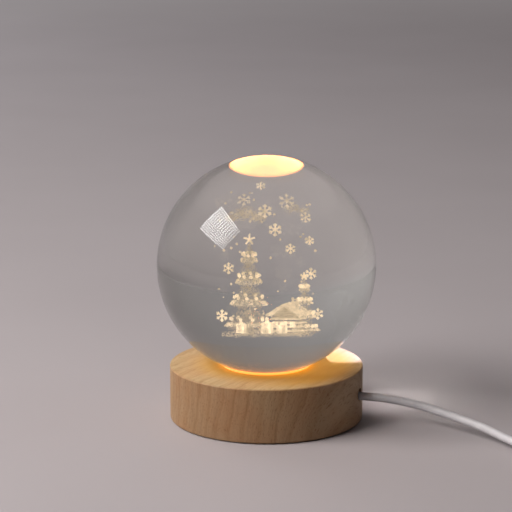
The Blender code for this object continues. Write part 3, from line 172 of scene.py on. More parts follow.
def smooth_copy(node, angle):
    """A copy of a CAD node's mesh with its triangles joined up and smooth round its curves."""
    mesh = NODES[node].data.copy()
    bm = bmesh.new()
    bm.from_mesh(mesh)
    bmesh.ops.remove_doubles(bm, verts=bm.verts, dist=0.000002)
    bmesh.ops.dissolve_limit(bm, angle_limit=math.radians(0.5), verts=bm.verts, edges=bm.edges)
    bm.to_mesh(mesh)
    bm.free()
    mesh.shade_smooth()
    mesh.set_sharp_from_angle(angle=math.radians(angle))
    for name in [a.name for a in mesh.attributes if a.name.startswith("custom_normal")]:
        mesh.attributes.remove(mesh.attributes[name])
    mesh.materials.clear()
    return mesh


def show(name, data, body, slot, *nodes):
    """Put a finished piece into the scene on its body, and hide the nodes that it is for. The slot
    is not used.
    """
    piece = bpy.data.objects.new(name, data)
    bpy.context.scene.collection.objects.link(piece)
    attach(piece, body)
    if nodes:
        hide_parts(*nodes)
    return piece


def show_node(name, node, finish, slot, body="lamp", angle=35):
    """Show a smooth copy of a CAD node with a finish."""
    mesh = smooth_copy(node, angle)
    mesh.materials.append(finish)
    show(name, mesh, body, slot, node)


def beech_finish():
    finish, tree, shader = new_finish("oiled_beech", Specular_IOR_Level=0.35,
                                      Emission_Strength=1.6)
    place = object_place(tree)
    along = put(tree, "ShaderNodeMapping",
                {"Vector": place, "Rotation": (0, GROWTH_LEAN, FIBRE_TURN)},
                vector_type="TEXTURE").outputs["Vector"]
    # slow waviness of the growth layers
    wave = put(tree, "ShaderNodeTexNoise", {"Vector": along, "Scale": 45.0, "Detail": 2.0})
    bend = vectors(tree, "SUBTRACT", wave.outputs["Color"], (0.5, 0.5, 0.5))
    bent = vectors(tree, "ADD", along, vectors(tree, "MULTIPLY", bend, (0.006, 0.0, 0.002)))
    rings = put(tree, "ShaderNodeTexWave",
                {"Vector": bent, "Scale": 62.0, "Distortion": 0.6, "Detail": 2.0,
                 "Detail Scale": 3.0},
                wave_type="BANDS", bands_direction="X", wave_profile="SAW").outputs["Fac"]
    # layers seen edge on: fine streaks that run along the fibres and up the end grain
    streaks = noise(tree, stretched(tree, bent, (1300, 45, 110)), 1.0, Detail=4.0, Roughness=0.6)
    flecks = noise(tree, stretched(tree, bent, (3800, 260, 900)), 1.0, Detail=1.0)
    patches = noise(tree, along, 70.0, Detail=3.0)
    wood = ramp(tree, rings, (0.0, (0.65, 0.500, 0.290)), (0.55, (0.63, 0.478, 0.272)),
                (0.88, (0.57, 0.415, 0.222)), (1.0, (0.64, 0.490, 0.280)))
    tone = ramp(tree, streaks, (0.30, (0.72, 0.68, 0.65)), (0.52, 1.0),
                (0.72, (1.12, 1.12, 1.13)))
    fleck = ramp(tree, flecks, (0.57, 1.0), (0.72, (0.66, 0.52, 0.42)))
    ruddy = ramp(tree, patches, (0.40, 1.03), (0.66, (1.02, 0.87, 0.77)))
    # end grain drinks more oil and is darker, and the side is painted darker than the top as
    # painted shade
    facing = object_facing(tree)
    end_on = vectors(tree, "DOT_PRODUCT", facing, FIBRE_DIRECTION)
    oiled = ramp(tree, maths(tree, "MULTIPLY", end_on, end_on), (0.0, 1.0),
                 (0.25, (0.80, 0.76, 0.70)), (1.0, (0.62, 0.55, 0.50)))
    painted_side_shade = ramp(tree, height_of(tree, facing), (0.0, (0.69, 0.615, 0.615)),
                   (0.6, (0.69, 0.615, 0.615)), (0.95, (0.775, 0.760, 0.730)))
    for share, tint in ((0.5, tone), (0.75, fleck), (0.7, ruddy), (1.0, oiled), (1.0, painted_side_shade)):
        wood = mix(tree, share, wood, tint, "MULTIPLY")
    # painted light round the light hole: a warm glow in the wood's emission and an amber tint in
    # its colour, and a painted reflection that is stronger where the ball mirrors it
    plan, reach = plan_of(tree, place)
    on_top = maths(tree, "GREATER_THAN", height_of(tree, place), BASE_TOP - 0.0004)

    def pool(full, gone):
        fading = between(tree, reach, full, gone, 1.0, 0.0, "SMOOTHSTEP")
        return maths(tree, "MULTIPLY", fading, on_top)

    lead_side = between(tree, vectors(tree, "DOT_PRODUCT", plan, LEAD_SIDE), *LEAD_SIDE_FADE,
                        curve="SMOOTHSTEP")
    wide = maths(tree, "MULTIPLY", pool(*WIDE_POOL), lead_side)
    amber_light_tint = maths(tree, "MAXIMUM", pool(*AMBER_LIGHT_POOL), wide)
    glow = maths(tree, "MULTIPLY", pool(*NEAR_POOL), NEAR_GLOW)
    glow = maths(tree, "MULTIPLY_ADD", wide, WIDE_GLOW, glow)
    glow = maths(tree, "MULTIPLY_ADD", pool(*DIRECT_POOL), DIRECT_GLOW, glow)
    # painted reflection: extra glow that only rays mirrored off the ball see
    mirrored = put(tree, "ShaderNodeLightPath").outputs["Is Glossy Ray"]
    painted_reflection = maths(tree, "MULTIPLY", pool(*MIRRORED_POOL), mirrored)
    glow = maths(tree, "MULTIPLY_ADD", painted_reflection, MIRRORED_GLOW, glow)
    # painted light: the lamp's amber light as a tint in the wood's colour
    feed(shader, Base_Color=mix(tree, amber_light_tint, wood, (0.44, 0.262, 0.066, 1)),
         Roughness=ramp(tree, streaks, (0.3, 0.62), (0.7, 0.48)),
         Emission_Color=scaled(tree, GLOW_COLOUR, glow))
    raise_surface(shader, streaks, 0.25, 0.0002)
    return finish


show_node("turned_base", "wooden_base", beech_finish(), "beech_wood")

# ---- Light diffuser ----------------------------------------------------------------------
# A cup of opal acrylic, pushed up into the base from below. Its crown stands a little proud of
# the wood, carries the ball and shows as a bright line at the ball's foot.
OPAL_FOOT = 0.0140
OPAL_CROWN = 0.0212


def opal_finish():
    finish, tree, shader = new_finish("lit_opal_acrylic", Roughness=0.4, Emission_Strength=0.95)
    place = object_place(tree)
    rise = between(tree, height_of(tree, place), OPAL_FOOT, OPAL_CROWN)
    cloud = noise(tree, place, 400.0, Detail=2.0)
    feed(shader, Base_Color=ramp(tree, cloud, (0.3, (0.93, 0.78, 0.50)), (0.7, (0.98, 0.85, 0.60))),
         Emission_Color=ramp(tree, rise, (0.0, (0.75, 0.26, 0.05)), (0.9, (1.0, 0.37, 0.07)),
                             (1.0, (1.0, 0.42, 0.10))))
    return finish


show_node("opal_diffuser", "light_diffuser", opal_finish(), "opal_acrylic")

# ---- Crystal ball ------------------------------------------------------------------------
# A solid ball of clear optical glass, ground flat below. The ground face is fine and matt, and
# shines warm from the light under it. The ball rests loose on the diffuser.
BALL_RADIUS = 0.0400
BALL_FLAT_RADIUS = 0.0177
BALL_FLAT_HEIGHT = 0.0215
BALL_SIDES = 288
BALL_RINGS = 144
BALL_FLAT_RINGS = 6
GLASS_INDEX = 1.51


def ground_finish():
    """The lit face shines into the glass, and only weakly down towards the diffuser."""
    finish, tree, shader = new_finish("ground_lit_face", Roughness=0.6, Emission_Strength=22.0)
    place = object_place(tree)
    reach = between(tree, plan_of(tree, place)[1], 0.0, BALL_FLAT_RADIUS)
    grit = noise(tree, place, 2500.0)
    inward = ramp(tree, reach, (0.0, (0.35, 0.10, 0.02)), (0.34, (0.40, 0.11, 0.02)),
                  (0.42, (1.0, 0.25, 0.062)), (0.60, (1.0, 0.30, 0.090)),
                  (0.80, (1.0, 0.36, 0.100)), (0.925, (0.85, 0.34, 0.085)),
                  (0.96, (0.45, 0.17, 0.028)), (1.0, (0.08, 0.025, 0.005)))
    within = put(tree, "ShaderNodeNewGeometry").outputs["Backfacing"]
    lit = mix(tree, within, (0.030, 0.013, 0.003, 1), inward)
    # light that went to and fro in the ball is weakened, or it would show as sparks at its foot
    turns = put(tree, "ShaderNodeLightPath").outputs["Ray Depth"]
    feed(shader, Base_Color=ramp(tree, grit, (0.3, (0.86, 0.82, 0.74)), (0.7, (0.94, 0.90, 0.84))),
         Emission_Color=scaled(tree, lit, between(tree, turns, 3.0, 4.0, 1.0, 0.3)))
    return finish


def ball_mesh():
    """Rings of the sphere from the flat's edge to the top, and the flat's own rings."""
    rise = math.sqrt(BALL_RADIUS ** 2 - BALL_FLAT_RADIUS ** 2)
    start = -math.acos(BALL_FLAT_RADIUS / BALL_RADIUS)
    outline = [(BALL_FLAT_RADIUS * i / BALL_FLAT_RINGS, 0.0) for i in range(BALL_FLAT_RINGS)]
    for i in range(BALL_RINGS):
        angle = start + (math.pi / 2 - start) * i / BALL_RINGS
        outline.append((BALL_RADIUS * math.cos(angle), rise + BALL_RADIUS * math.sin(angle)))
    outline.append((0.0, rise + BALL_RADIUS))
    bm = bmesh.new()
    line = [bm.verts.new((x, 0, BALL_FLAT_HEIGHT + z)) for x, z in outline]
    edges = [bm.edges.new(pair) for pair in zip(line, line[1:])]
    bmesh.ops.spin(bm, geom=line + edges, cent=(0, 0, 0), axis=(0, 0, 1), angle=2 * math.pi,
                   steps=BALL_SIDES, use_merge=True)
    bmesh.ops.remove_doubles(bm, verts=bm.verts, dist=0.0000005)
    bmesh.ops.recalc_face_normals(bm, faces=bm.faces)
    for face in bm.faces:
        face.material_index = int(face.calc_center_median().z < BALL_FLAT_HEIGHT + 0.000001)
        face.smooth = True
    mesh = bpy.data.meshes.new("glass_ball")
    bm.to_mesh(mesh)
    bm.free()
    mesh.set_sharp_from_angle(angle=math.radians(20))
    glass = new_finish("clear_optical_glass", Roughness=0.0, IOR=GLASS_INDEX,
                       Transmission_Weight=1.0, Base_Color=(0.925, 0.935, 0.900, 1))[0]
    mesh.materials.append(glass)
    mesh.materials.append(ground_finish())
    return mesh


show("glass_ball", ball_mesh(), "ball", "clear_glass", "crystal_ball")

# ---- Laser figure and snow in the ball ---------------------------------------------------
# A winter scene of tiny white cracks, burnt into the glass point by point with a laser. The light
# from below that makes the points shine cream is painted light: an emission, warmer and brighter
# lower down and set part by part, over a near-black base colour. Each point is one small
# tetrahedron.
FIGURE_TURN = math.radians(16)
FIGURE_FOOT = 0.03977
BALL_CENTRE_HEIGHT = 0.05737
DRIFT_RADIUS = 0.0108
DRIFT_THICKNESS = 0.0012
DRIFT_CROWN = 0.0010
DRIFT_STEP = 0.6
FIR_STEM = 0.11
FIR_TIERS = 4
FIR_POINTS = 9
FIR_TAPER = 0.21
FIR_TUCK = 0.42
FIR_LUMP_RADIUS = 0.00036
# each fir: its place, its height, its radius and its share of points
FIRS = [(-0.0042, 0.0004, 0.0235, 0.0058, 13.0), (0.0086, 0.0046, 0.0135, 0.0034, 12.0)]
STAR_ARMS = 5
CABIN_PLACE = (0.0052, -0.0006)
CABIN_TURN = math.radians(-18)
CABIN_SIZE = (0.0072, 0.0056, 0.0050)
LOG_ROWS = 4
LOG_FIRST_HEIGHT = 0.0016
LOG_PITCH = 0.0010
LOG_LINE = 0.00012
GABLE_ROWS = 5
ROOF_RISE = 0.0028
ROOF_EAVES = 0.0009
ROOF_SNOW = 0.0004
CHIMNEY_SIZE = (0.0012, 0.0012, 0.0030)
CHIMNEY_OFFSET = 0.0018
CHIMNEY_HEIGHT = 0.0078
DOOR_SIZE = (0.0015, 0.0003, 0.0028)
DOOR_HEIGHT = 0.0026
WINDOW_SIZE = (0.0012, 0.0003, 0.0012)
WINDOW_OFFSET = 0.0023
WINDOW_HEIGHT = 0.0033
# each parcel: its place, its width, its height and its turn in degrees
PARCELS = [(0.0002, -0.0052, 0.0030, 0.0026, 28), (0.0039, -0.0066, 0.0025, 0.0021, -17),
           (-0.0064, -0.0062, 0.0024, 0.0023, 12)]
# each flake and each cloud: its place from the ball's centre, its size and its share of points
FLAKES = [
    (-0.0056, 0.0030, 0.0160, 0.0017, 20), (-0.0004, -0.0020, 0.0148, 0.0019, 75),
    (0.0052, 0.0010, 0.0166, 0.0021, 26), (0.0094, 0.0040, 0.0108, 0.0014, 26),
    (0.0022, -0.0020, 0.0096, 0.0017, 75), (0.0060, -0.0020, 0.0046, 0.0013, 46),
    (-0.0094, -0.0020, -0.0004, 0.0014, 40), (0.0108, 0.0000, -0.0022, 0.0014, 40),
    (-0.0014, 0.0050, 0.0190, 0.0012, 26), (-0.0110, -0.0030, -0.0122, 0.0015, 70),
    (0.0100, 0.0050, 0.0046, 0.0011, 36), (0.0128, -0.0030, -0.0118, 0.0014, 60),
]
CLOUDS = [(-0.0050, 0.0040, 0.0118, 0.0030, 9.0), (-0.0082, 0.0040, 0.0108, 0.0021, 8.0),
          (-0.0018, 0.0040, 0.0108, 0.0023, 8.0), (0.0062, 0.0050, 0.0128, 0.0025, 5.0),
          (0.0090, 0.0050, 0.0122, 0.0018, 5.0)]
FLAKE_ARMS = 6
FLAKE_BAR = 0.00022
BRANCH_BAR = 0.00018
BRANCH_PLACE = 0.6
BRANCH_LENGTH = 0.34
BRANCH_TURN = 0.8
POINT_RADIUS = 0.000104
POINTS_PER_AREA = 0.88e6
POINT_SPREAD = 0.0001
POINT_SEED = 4
SNOW_SEED = 7
SNOW_COUNT = 60
SNOW_BOX = ((-0.0125, 0.0125), (-0.006, 0.006), (-0.0140, 0.0185))
SNOW_SIZES = (0.00010, 0.00026)


def scatter_tree(finish):
    """Geometry Nodes: points strewn over the guide's faces, a small tetrahedron on each."""
    tree = bpy.data.node_groups.new("laser_points", "GeometryNodeTree")
    tree.interface.new_socket("Guide", in_out="INPUT", socket_type="NodeSocketGeometry")
    for name, kind, value in (("Point Radius", "NodeSocketFloat", POINT_RADIUS),
                              ("Points per Area", "NodeSocketFloat", POINTS_PER_AREA),
                              ("Spread", "NodeSocketFloat", POINT_SPREAD),
                              ("Seed", "NodeSocketInt", POINT_SEED)):
        socket = tree.interface.new_socket(name, in_out="INPUT", socket_type=kind)
        socket.default_value = value
    tree.interface.new_socket("Points", in_out="OUTPUT", socket_type="NodeSocketGeometry")
    given = put(tree, "NodeGroupInput").outputs

    def face_value(name):
        return put(tree, "GeometryNodeInputNamedAttribute", {"Name": name},
                   data_type="FLOAT").outputs["Attribute"]

    density = maths(tree, "MULTIPLY", given["Points per Area"], face_value("point_share"))
    strewn = put(tree, "GeometryNodeDistributePointsOnFaces",
                 {"Mesh": given["Guide"], "Density": density, "Seed": given["Seed"]}).outputs
    # a point lies at a random depth under its face, and a little off it in any direction
    count = put(tree, "GeometryNodeInputIndex").outputs[0]
    sunk = put(tree, "FunctionNodeRandomValue", {2: 0.0, 3: -1.0, "ID": count,
                                                 "Seed": given["Seed"]}, data_type="FLOAT")
    depth = maths(tree, "MULTIPLY", face_value("point_depth"), sunk.outputs[1])
    inside = scaled(tree, strewn["Normal"], depth)
    low = vectors(tree, "MULTIPLY", given["Spread"], (-1.0, -1.0, -1.0))
    high = vectors(tree, "MULTIPLY", given["Spread"], (1.0, 1.0, 1.0))
    offset = put(tree, "FunctionNodeRandomValue", {"Min": low, "Max": high,
                                                   "Seed": given["Seed"]},
                 data_type="FLOAT_VECTOR").outputs["Value"]
    moved = put(tree, "GeometryNodeSetPosition", {"Geometry": strewn["Points"],
                                                  "Offset": vectors(tree, "ADD", offset, inside)})
    tall = maths(tree, "MULTIPLY", given["Point Radius"], math.sqrt(2))
    point = put(tree, "GeometryNodeMeshCone", {"Vertices": 3, "Radius Top": 0.0, "Depth": tall,
                                               "Radius Bottom": given["Point Radius"]})
    placed = put(tree, "GeometryNodeInstanceOnPoints", {"Points": moved.outputs[0],
                                                        "Instance": point.outputs["Mesh"]})
    real = put(tree, "GeometryNodeRealizeInstances", {"Geometry": placed.outputs[0]})
    done = put(tree, "GeometryNodeSetMaterial", {"Geometry": real.outputs[0],
                                                 "Material": finish})
    put(tree, "NodeGroupOutput", {"Points": done.outputs[0]})
    return tree


def grown(guide, tree):
    """The plain mesh that a Geometry Nodes tree makes of a guide mesh."""
    holder = bpy.data.objects.new("guide", guide)
    bpy.context.scene.collection.objects.link(holder)
    holder.modifiers.new("grown", "NODES").node_group = tree
    shaped = holder.evaluated_get(bpy.context.evaluated_depsgraph_get())
    mesh = bpy.data.meshes.new_from_object(shaped)
    bpy.data.objects.remove(holder)
    return mesh


def laser_finish():
    finish, tree, shader = new_finish("laser_points", Roughness=0.8, Emission_Strength=1.0)
    place = object_place(tree)
    rise = between(tree, height_of(tree, place), 0.038, 0.078)
    grain = noise(tree, place, 620.0, Detail=1.0)
    glow = ramp(tree, rise, (0.0, (1.0, 0.77, 0.52)), (0.20, (0.95, 0.72, 0.47)),
                (0.45, (0.86, 0.65, 0.42)), (0.7, (0.74, 0.57, 0.39)), (1.0, (0.68, 0.54, 0.38)))
    uneven = ramp(tree, grain, (0.3, 0.70), (0.7, 1.1))
    light = put(tree, "ShaderNodeAttribute", attribute_name="point_light").outputs["Fac"]
    crack = ramp(tree, grain, (0.3, (0.02, 0.015, 0.01)), (0.7, (0.05, 0.04, 0.03)))
    feed(shader, Base_Color=crack,
         Emission_Color=scaled(tree, mix(tree, 1.0, glow, uneven, "MULTIPLY"), light))
    return finish


class Guide:
    """Faces that the laser's points are strewn over, each with its share of points."""

    def __init__(self, name):
        self.name = name
        self.bm = bmesh.new()
        self.shares = self.bm.faces.layers.float.new("point_share")
        self.depths = self.bm.faces.layers.float.new("point_depth")
        self.lights = self.bm.faces.layers.float.new("point_light")

    def mark(self, made, share, depth, light):
        for face in {f for vert in made["verts"] for f in vert.link_faces}:
            face[self.shares] = share
            face[self.depths] = depth
            face[self.lights] = light

    def cone(self, place, low, high, height, share, light=1.0, sides=18, depth=0.0):
        turn = Matrix.Translation(Vector(place) + Vector((0, 0, height / 2)))
        made = bmesh.ops.create_cone(self.bm, cap_ends=False, segments=sides, radius1=low,
                                     radius2=high, depth=height, matrix=turn)
        self.mark(made, share, depth, light)

    def ball(self, place, size, share, light=1.0, flatten=1.0, depth=0.0):
        turn = Matrix.Translation(place) @ Matrix.Diagonal((size, size, size * flatten, 1))
        made = bmesh.ops.create_icosphere(self.bm, subdivisions=2, radius=1, matrix=turn)
        self.mark(made, share, depth, light)

    def box(self, place, size, share, light=1.0, turn=0.0, lean=0.0, shift=(0, 0, 0), depth=0.0):
        matrix = (Matrix.Translation(place) @ Matrix.Rotation(turn, 4, "Z")
                  @ Matrix.Rotation(lean, 4, "Y") @ Matrix.Translation(shift)
                  @ Matrix.Diagonal((*size, 1)))
        self.mark(bmesh.ops.create_cube(self.bm, size=1, matrix=matrix), share, depth, light)

    def bar(self, place, angle, length, thick, share, light=1.0):
        self.box(place, (length, thick, thick), share, light, lean=angle,
                 shift=(length / 2, 0, 0))

    def finished(self, height):
        bmesh.ops.transform(self.bm, verts=self.bm.verts,
                            matrix=Matrix.Translation((0, 0, height))
                            @ Matrix.Rotation(FIGURE_TURN, 4, "Z"))
        guide = bpy.data.meshes.new(self.name)
        self.bm.to_mesh(guide)
        self.bm.free()
        return guide


def draw_fir(guide, x, y, height, radius, share):
    """A stem, tiers of branches with snow on their points, and a star."""
    foot = height * FIR_STEM
    rise = (height - foot) / FIR_TIERS
    guide.cone((x, y, 0.0006), radius * 0.22, radius * 0.20, foot, share * 1.6, 0.45)
    for tier in range(FIR_TIERS):
        spread = radius * (1 - FIR_TAPER * tier)
        tuck = 0.0002 if tier == FIR_TIERS - 1 else spread * FIR_TUCK
        base = foot + rise * tier
        guide.cone((x, y, base), spread, tuck, rise, share, 0.62, FIR_POINTS, spread * 0.5)
        guide.cone((x, y, base), spread, spread * 0.86, rise * 0.17, share * 2.2, 1.05, FIR_POINTS)
        for k in range(FIR_POINTS):
            turn = 2 * math.pi * (k + 0.5 * (tier % 2)) / FIR_POINTS
            guide.ball((x + spread * 0.74 * math.cos(turn), y + spread * 0.74 * math.sin(turn),
                        base + rise * 0.36), FIR_LUMP_RADIUS, 70, 1.25)
    for arm in range(STAR_ARMS):
        guide.bar((x, y, height + 0.0004), arm * 2 * math.pi / STAR_ARMS - math.pi / 2,
                  radius * 0.24, 0.00025, 90, 1.2)


def draw_cabin(guide):
    """Log walls with gables, a snowed roof, a chimney, a door and two windows."""
    x, y = CABIN_PLACE
    wide, deep, tall = CABIN_SIZE
    guide.box((x, y, tall / 2 + 0.0003), (wide, deep, tall - 0.0006), 8, 0.55, CABIN_TURN,
              depth=deep * 0.4)
    for row in range(LOG_ROWS):
        guide.box((x, y, LOG_FIRST_HEIGHT + row * LOG_PITCH),
                  (wide * 1.01, deep * 1.01, LOG_LINE), 30, 0.95, CABIN_TURN)
    for row in range(GABLE_ROWS):
        level = (row + 0.5) / GABLE_ROWS
        guide.box((x, y, tall + ROOF_RISE * level),
                  (wide * (1 - level), deep, ROOF_RISE / GABLE_ROWS), 14, 0.6, CABIN_TURN)
    pitch = math.atan2(ROOF_RISE, wide / 2 + ROOF_EAVES)
    slope = (wide / 2 + ROOF_EAVES) / math.cos(pitch)
    for side in (-1, 1):
        guide.box((x, y, tall + 0.00045 + ROOF_RISE), (slope, deep + 2 * ROOF_EAVES, ROOF_SNOW),
                  22, 1.0, CABIN_TURN, lean=side * pitch, shift=(side * slope / 2, 0, 0))
    guide.box((x, y, CHIMNEY_HEIGHT), CHIMNEY_SIZE, 26, 0.8, CABIN_TURN,
              shift=(CHIMNEY_OFFSET, 0, 0))
    front = -deep / 2 - 0.0001
    guide.box((x, y, DOOR_HEIGHT), DOOR_SIZE, 90, 1.3, CABIN_TURN, shift=(0, front, 0))
    for place in (-WINDOW_OFFSET, WINDOW_OFFSET):
        guide.box((x, y, WINDOW_HEIGHT), WINDOW_SIZE, 100, 1.35, CABIN_TURN,
                  shift=(place, front, 0))


def figure_guide():
    guide = Guide("figure_guide")
    for fir in FIRS:
        draw_fir(guide, *fir)
    draw_cabin(guide)
    for x, y, width, height, turn in PARCELS:
        middle = (x, y, DRIFT_THICKNESS + height / 2)
        guide.box(middle, (width, width, height), 26, 0.85, math.radians(turn),
                  depth=width * 0.3)
        for size in ((1.01, 0.18, 1.01), (0.18, 1.01, 1.01)):
            band = (width * size[0], width * size[1], height * size[2])
            guide.box(middle, band, 90, 1.4, math.radians(turn))
        guide.ball((x, y, DRIFT_THICKNESS + height + 0.0003), width * 0.16, 90, 1.4)
    # the drift rises in two slopes, the outer one steeper
    guide.cone((0, 0, DRIFT_THICKNESS), DRIFT_RADIUS, DRIFT_RADIUS * DRIFT_STEP,
               DRIFT_CROWN * DRIFT_STEP, 5.0, 0.8, 32, DRIFT_THICKNESS)
    guide.cone((0, 0, DRIFT_THICKNESS + DRIFT_CROWN * DRIFT_STEP), DRIFT_RADIUS * DRIFT_STEP,
               0.0002, DRIFT_CROWN * (1 - DRIFT_STEP), 3.5, 0.8, 32, DRIFT_THICKNESS)
    return guide.finished(FIGURE_FOOT)


def snow_guide():
    """Six-armed flakes, flat clouds and loose snow."""
    guide = Guide("snow_guide")
    for x, y, z, size, share in FLAKES:
        for arm in range(FLAKE_ARMS):
            angle = arm * 2 * math.pi / FLAKE_ARMS + math.pi / 6
            guide.bar((x, y, z), angle, size, FLAKE_BAR, share, 1.15)
            out = Vector((math.cos(angle), 0, -math.sin(angle)))
            for side in (-BRANCH_TURN, BRANCH_TURN):
                guide.bar(Vector((x, y, z)) + out * size * BRANCH_PLACE, angle + side,
                          size * BRANCH_LENGTH, BRANCH_BAR, share, 1.15)
    for x, y, z, size, share in CLOUDS:
        guide.ball((x, y, z), size, share, 0.8, flatten=0.62, depth=size * 0.6)
    fall = random.Random(SNOW_SEED)
    for _ in range(SNOW_COUNT):
        place = [fall.uniform(*span) for span in SNOW_BOX]
        guide.ball(place, fall.uniform(*SNOW_SIZES), 60)
    return guide.finished(BALL_CENTRE_HEIGHT)


laser_tree = scatter_tree(laser_finish())
show("engraved_figure", grown(figure_guide(), laser_tree), "ball", "laser_points", "laser_figure")
show("engraved_snow", grown(snow_guide(), laser_tree), "ball", "laser_points")

# ---- LED board, chips and resistor -------------------------------------------------------
# A round white circuit board under the diffuser, with six LED packages in a ring on top and one
# resistor below. Two ring tracks of copper show through the board's mask.
LED_COUNT = 6
LED_RING_RADIUS = 0.00952
LED_TRACK_OFFSET = 0.0026
LED_TRACK_HALF_WIDTH = 0.0004
LED_WELL_HEIGHT = 0.0157


def uneven_group():
    """Shared effect: a colour, a roughness and a relief from one noise over the piece."""
    group = bpy.data.node_groups.new("uneven_surface", "ShaderNodeTree")
    for name, kind, value in (("Pale", "NodeSocketColor", (0.8, 0.8, 0.8, 1)),
                              ("Dark", "NodeSocketColor", (0.7, 0.7, 0.7, 1)),
                              ("Scale", "NodeSocketFloat", 300.0),
                              ("Smooth", "NodeSocketFloat", 0.3),
                              ("Rough", "NodeSocketFloat", 0.5)):
        socket = group.interface.new_socket(name, in_out="INPUT", socket_type=kind)
        socket.default_value = value
    for name, kind in (("Color", "NodeSocketColor"), ("Roughness", "NodeSocketFloat"),
                       ("Height", "NodeSocketFloat")):
        group.interface.new_socket(name, in_out="OUTPUT", socket_type=kind)
    given = put(group, "NodeGroupInput").outputs
    mottle = noise(group, object_place(group), given["Scale"], Detail=3.0)
    share = between(group, mottle, 0.35, 0.65)
    put(group, "NodeGroupOutput", {
        "Color": mix(group, share, given["Pale"], given["Dark"]),
        "Roughness": between(group, share, 0.0, 1.0, given["Smooth"], given["Rough"]),
        "Height": share})
    return group


UNEVEN = uneven_group()


def uneven_finish(name, pale, dark, scale, smooth, rough, relief=0.1, **inputs):
    """A finish that takes its colour, roughness and relief from the shared uneven surface."""
    finish, tree, shader = new_finish(name, **inputs)
    surface = put(tree, "ShaderNodeGroup", {"Pale": (*pale, 1), "Dark": (*dark, 1),
                                            "Scale": scale, "Smooth": smooth, "Rough": rough},
                  node_tree=UNEVEN).outputs
    feed(shader, Base_Color=surface["Color"], Roughness=surface["Roughness"])
    if relief:
        raise_surface(shader, surface["Height"], relief)
    return finish, tree, shader


def fed(shader, name):
    """The socket that feeds a shader's input."""
    return shader.inputs[name].links[0].from_socket


def refinish(finish, *nodes):
    """Give CAD nodes that are shown as they are this finish."""
    for node in nodes:
        NODES[node].data.materials.clear()
        NODES[node].data.materials.append(finish)


def board_finish():
    finish, tree, shader = uneven_finish("white_board_mask", (0.84, 0.84, 0.80),
                                         (0.80, 0.80, 0.75), 500.0, 0.35, 0.50, relief=0.05)
    off = plan_of(tree, object_place(tree))[1]
    for distance in (LED_RING_RADIUS, LED_TRACK_OFFSET):
        off = maths(tree, "ABSOLUTE", maths(tree, "SUBTRACT", off, distance))
    track = maths(tree, "LESS_THAN", off, LED_TRACK_HALF_WIDTH)
    feed(shader, Base_Color=mix(tree, track, fed(shader, "Base Color"), (0.70, 0.74, 0.66, 1)))
    return finish


def chip_finish():
    """White packages whose round wells hold the yellow phosphor, lit."""
    finish, tree, shader = uneven_finish("lit_led_package", (0.90, 0.89, 0.84),
                                         (0.86, 0.85, 0.80), 900.0, 0.30, 0.42, relief=0.04,
                                         Emission_Strength=2.0)
    low = maths(tree, "LESS_THAN", height_of(tree, object_place(tree)), LED_WELL_HEIGHT)
    upward = maths(tree, "GREATER_THAN", height_of(tree, object_facing(tree)), 0.9)
    well = maths(tree, "MULTIPLY", low, upward)
    feed(shader, Base_Color=mix(tree, well, fed(shader, "Base Color"), (0.90, 0.62, 0.12, 1)),
         Emission_Color=mix(tree, well, (0, 0, 0, 1), (1.0, 0.66, 0.26, 1)))
    return finish


show_node("board_disc", "led_board", board_finish(), "circuit_board")
refinish(chip_finish(), *[f"led_chip_{i + 1}" for i in range(LED_COUNT)])
refinish(uneven_finish("resistor_ceramic", (0.050, 0.050, 0.052), (0.030, 0.030, 0.031), 1400.0,
                       0.35, 0.55)[0], "board_resistor")

# ---- Board screws ------------------------------------------------------------------------
# Three short zinc-plated screws with slotted heads, which hold the board to the base. The plating
# is faintly mottled.
STEEL = uneven_finish("zinc_plated_steel", (0.66, 0.66, 0.63), (0.56, 0.56, 0.55), 1100.0, 0.24,
                      0.40, relief=0.12, Metallic=1.0)[0]
for i in (1, 2, 3):
    show_node(f"board_screw_turned_{i}", f"board_screw_{i}", STEEL, "zinc_steel")

# ---- Inner lead, its cores and the stop tie ----------------------------------------------
# The stretch of the lead inside the pocket, its red and its black core, which rise to the board,
# and the nylon tie on the jacket that stops a pull at the bore.
LEAD_RADIUS = 0.0015
CORE_RADIUS = 0.0006
INNER_RUN = [
    (0.0346, 0.0000, 0.0106), (0.0300, 0.0000, 0.0106), (0.0256, 0.0000, 0.0106),
    (0.0218, 0.0004, 0.0096), (0.0182, 0.0010, 0.0080), (0.0146, 0.0012, 0.0072),
    (0.0112, 0.0012, 0.0072),
]
# the red core's run, as offsets in Y from the middle between the two. The black one mirrors it
CORE_RUN = [(0.0109, 0.0008, 0.0072), (0.0079, 0.0016, 0.0072), (0.0049, 0.0032, 0.0087),
            (0.0034, 0.0040, 0.0106), (0.0034, 0.0040, 0.0121)]
CORE_MIDDLE = 0.0012


def smooth_line(points, step=0.002):
    """A smooth curve through points, read about every step along it."""
    line = [Vector(p) for p in points]
    line = [2 * line[0] - line[1]] + line + [2 * line[-1] - line[-2]]
    smooth = []
    for a, b, c, d in zip(line, line[1:], line[2:], line[3:]):
        count = max(1, round((c - b).length / step))
        for i in range(count):
            t = i / count
            smooth.append(0.5 * (2 * b + (c - a) * t + (2 * a - 5 * b + 4 * c - d) * t ** 2
                                 + (3 * b - a - 3 * c + d) * t ** 3))
    return smooth + [line[-2]]


def jacket_finish():
    finish, tree, shader = new_finish("light_grey_jacket", Specular_IOR_Level=0.5)
    place = object_place(tree)
    mottle = noise(tree, place, 260.0, Detail=3.0)
    feed(shader, Base_Color=ramp(tree, mottle, (0.35, (0.47, 0.455, 0.470)),
                                 (0.65, (0.53, 0.515, 0.530))),
         Roughness=ramp(tree, mottle, (0.35, 0.40), (0.65, 0.50)))
    raise_surface(shader, noise(tree, place, 2200.0, Detail=1.0), 0.12)
    return finish


JACKET = jacket_finish()


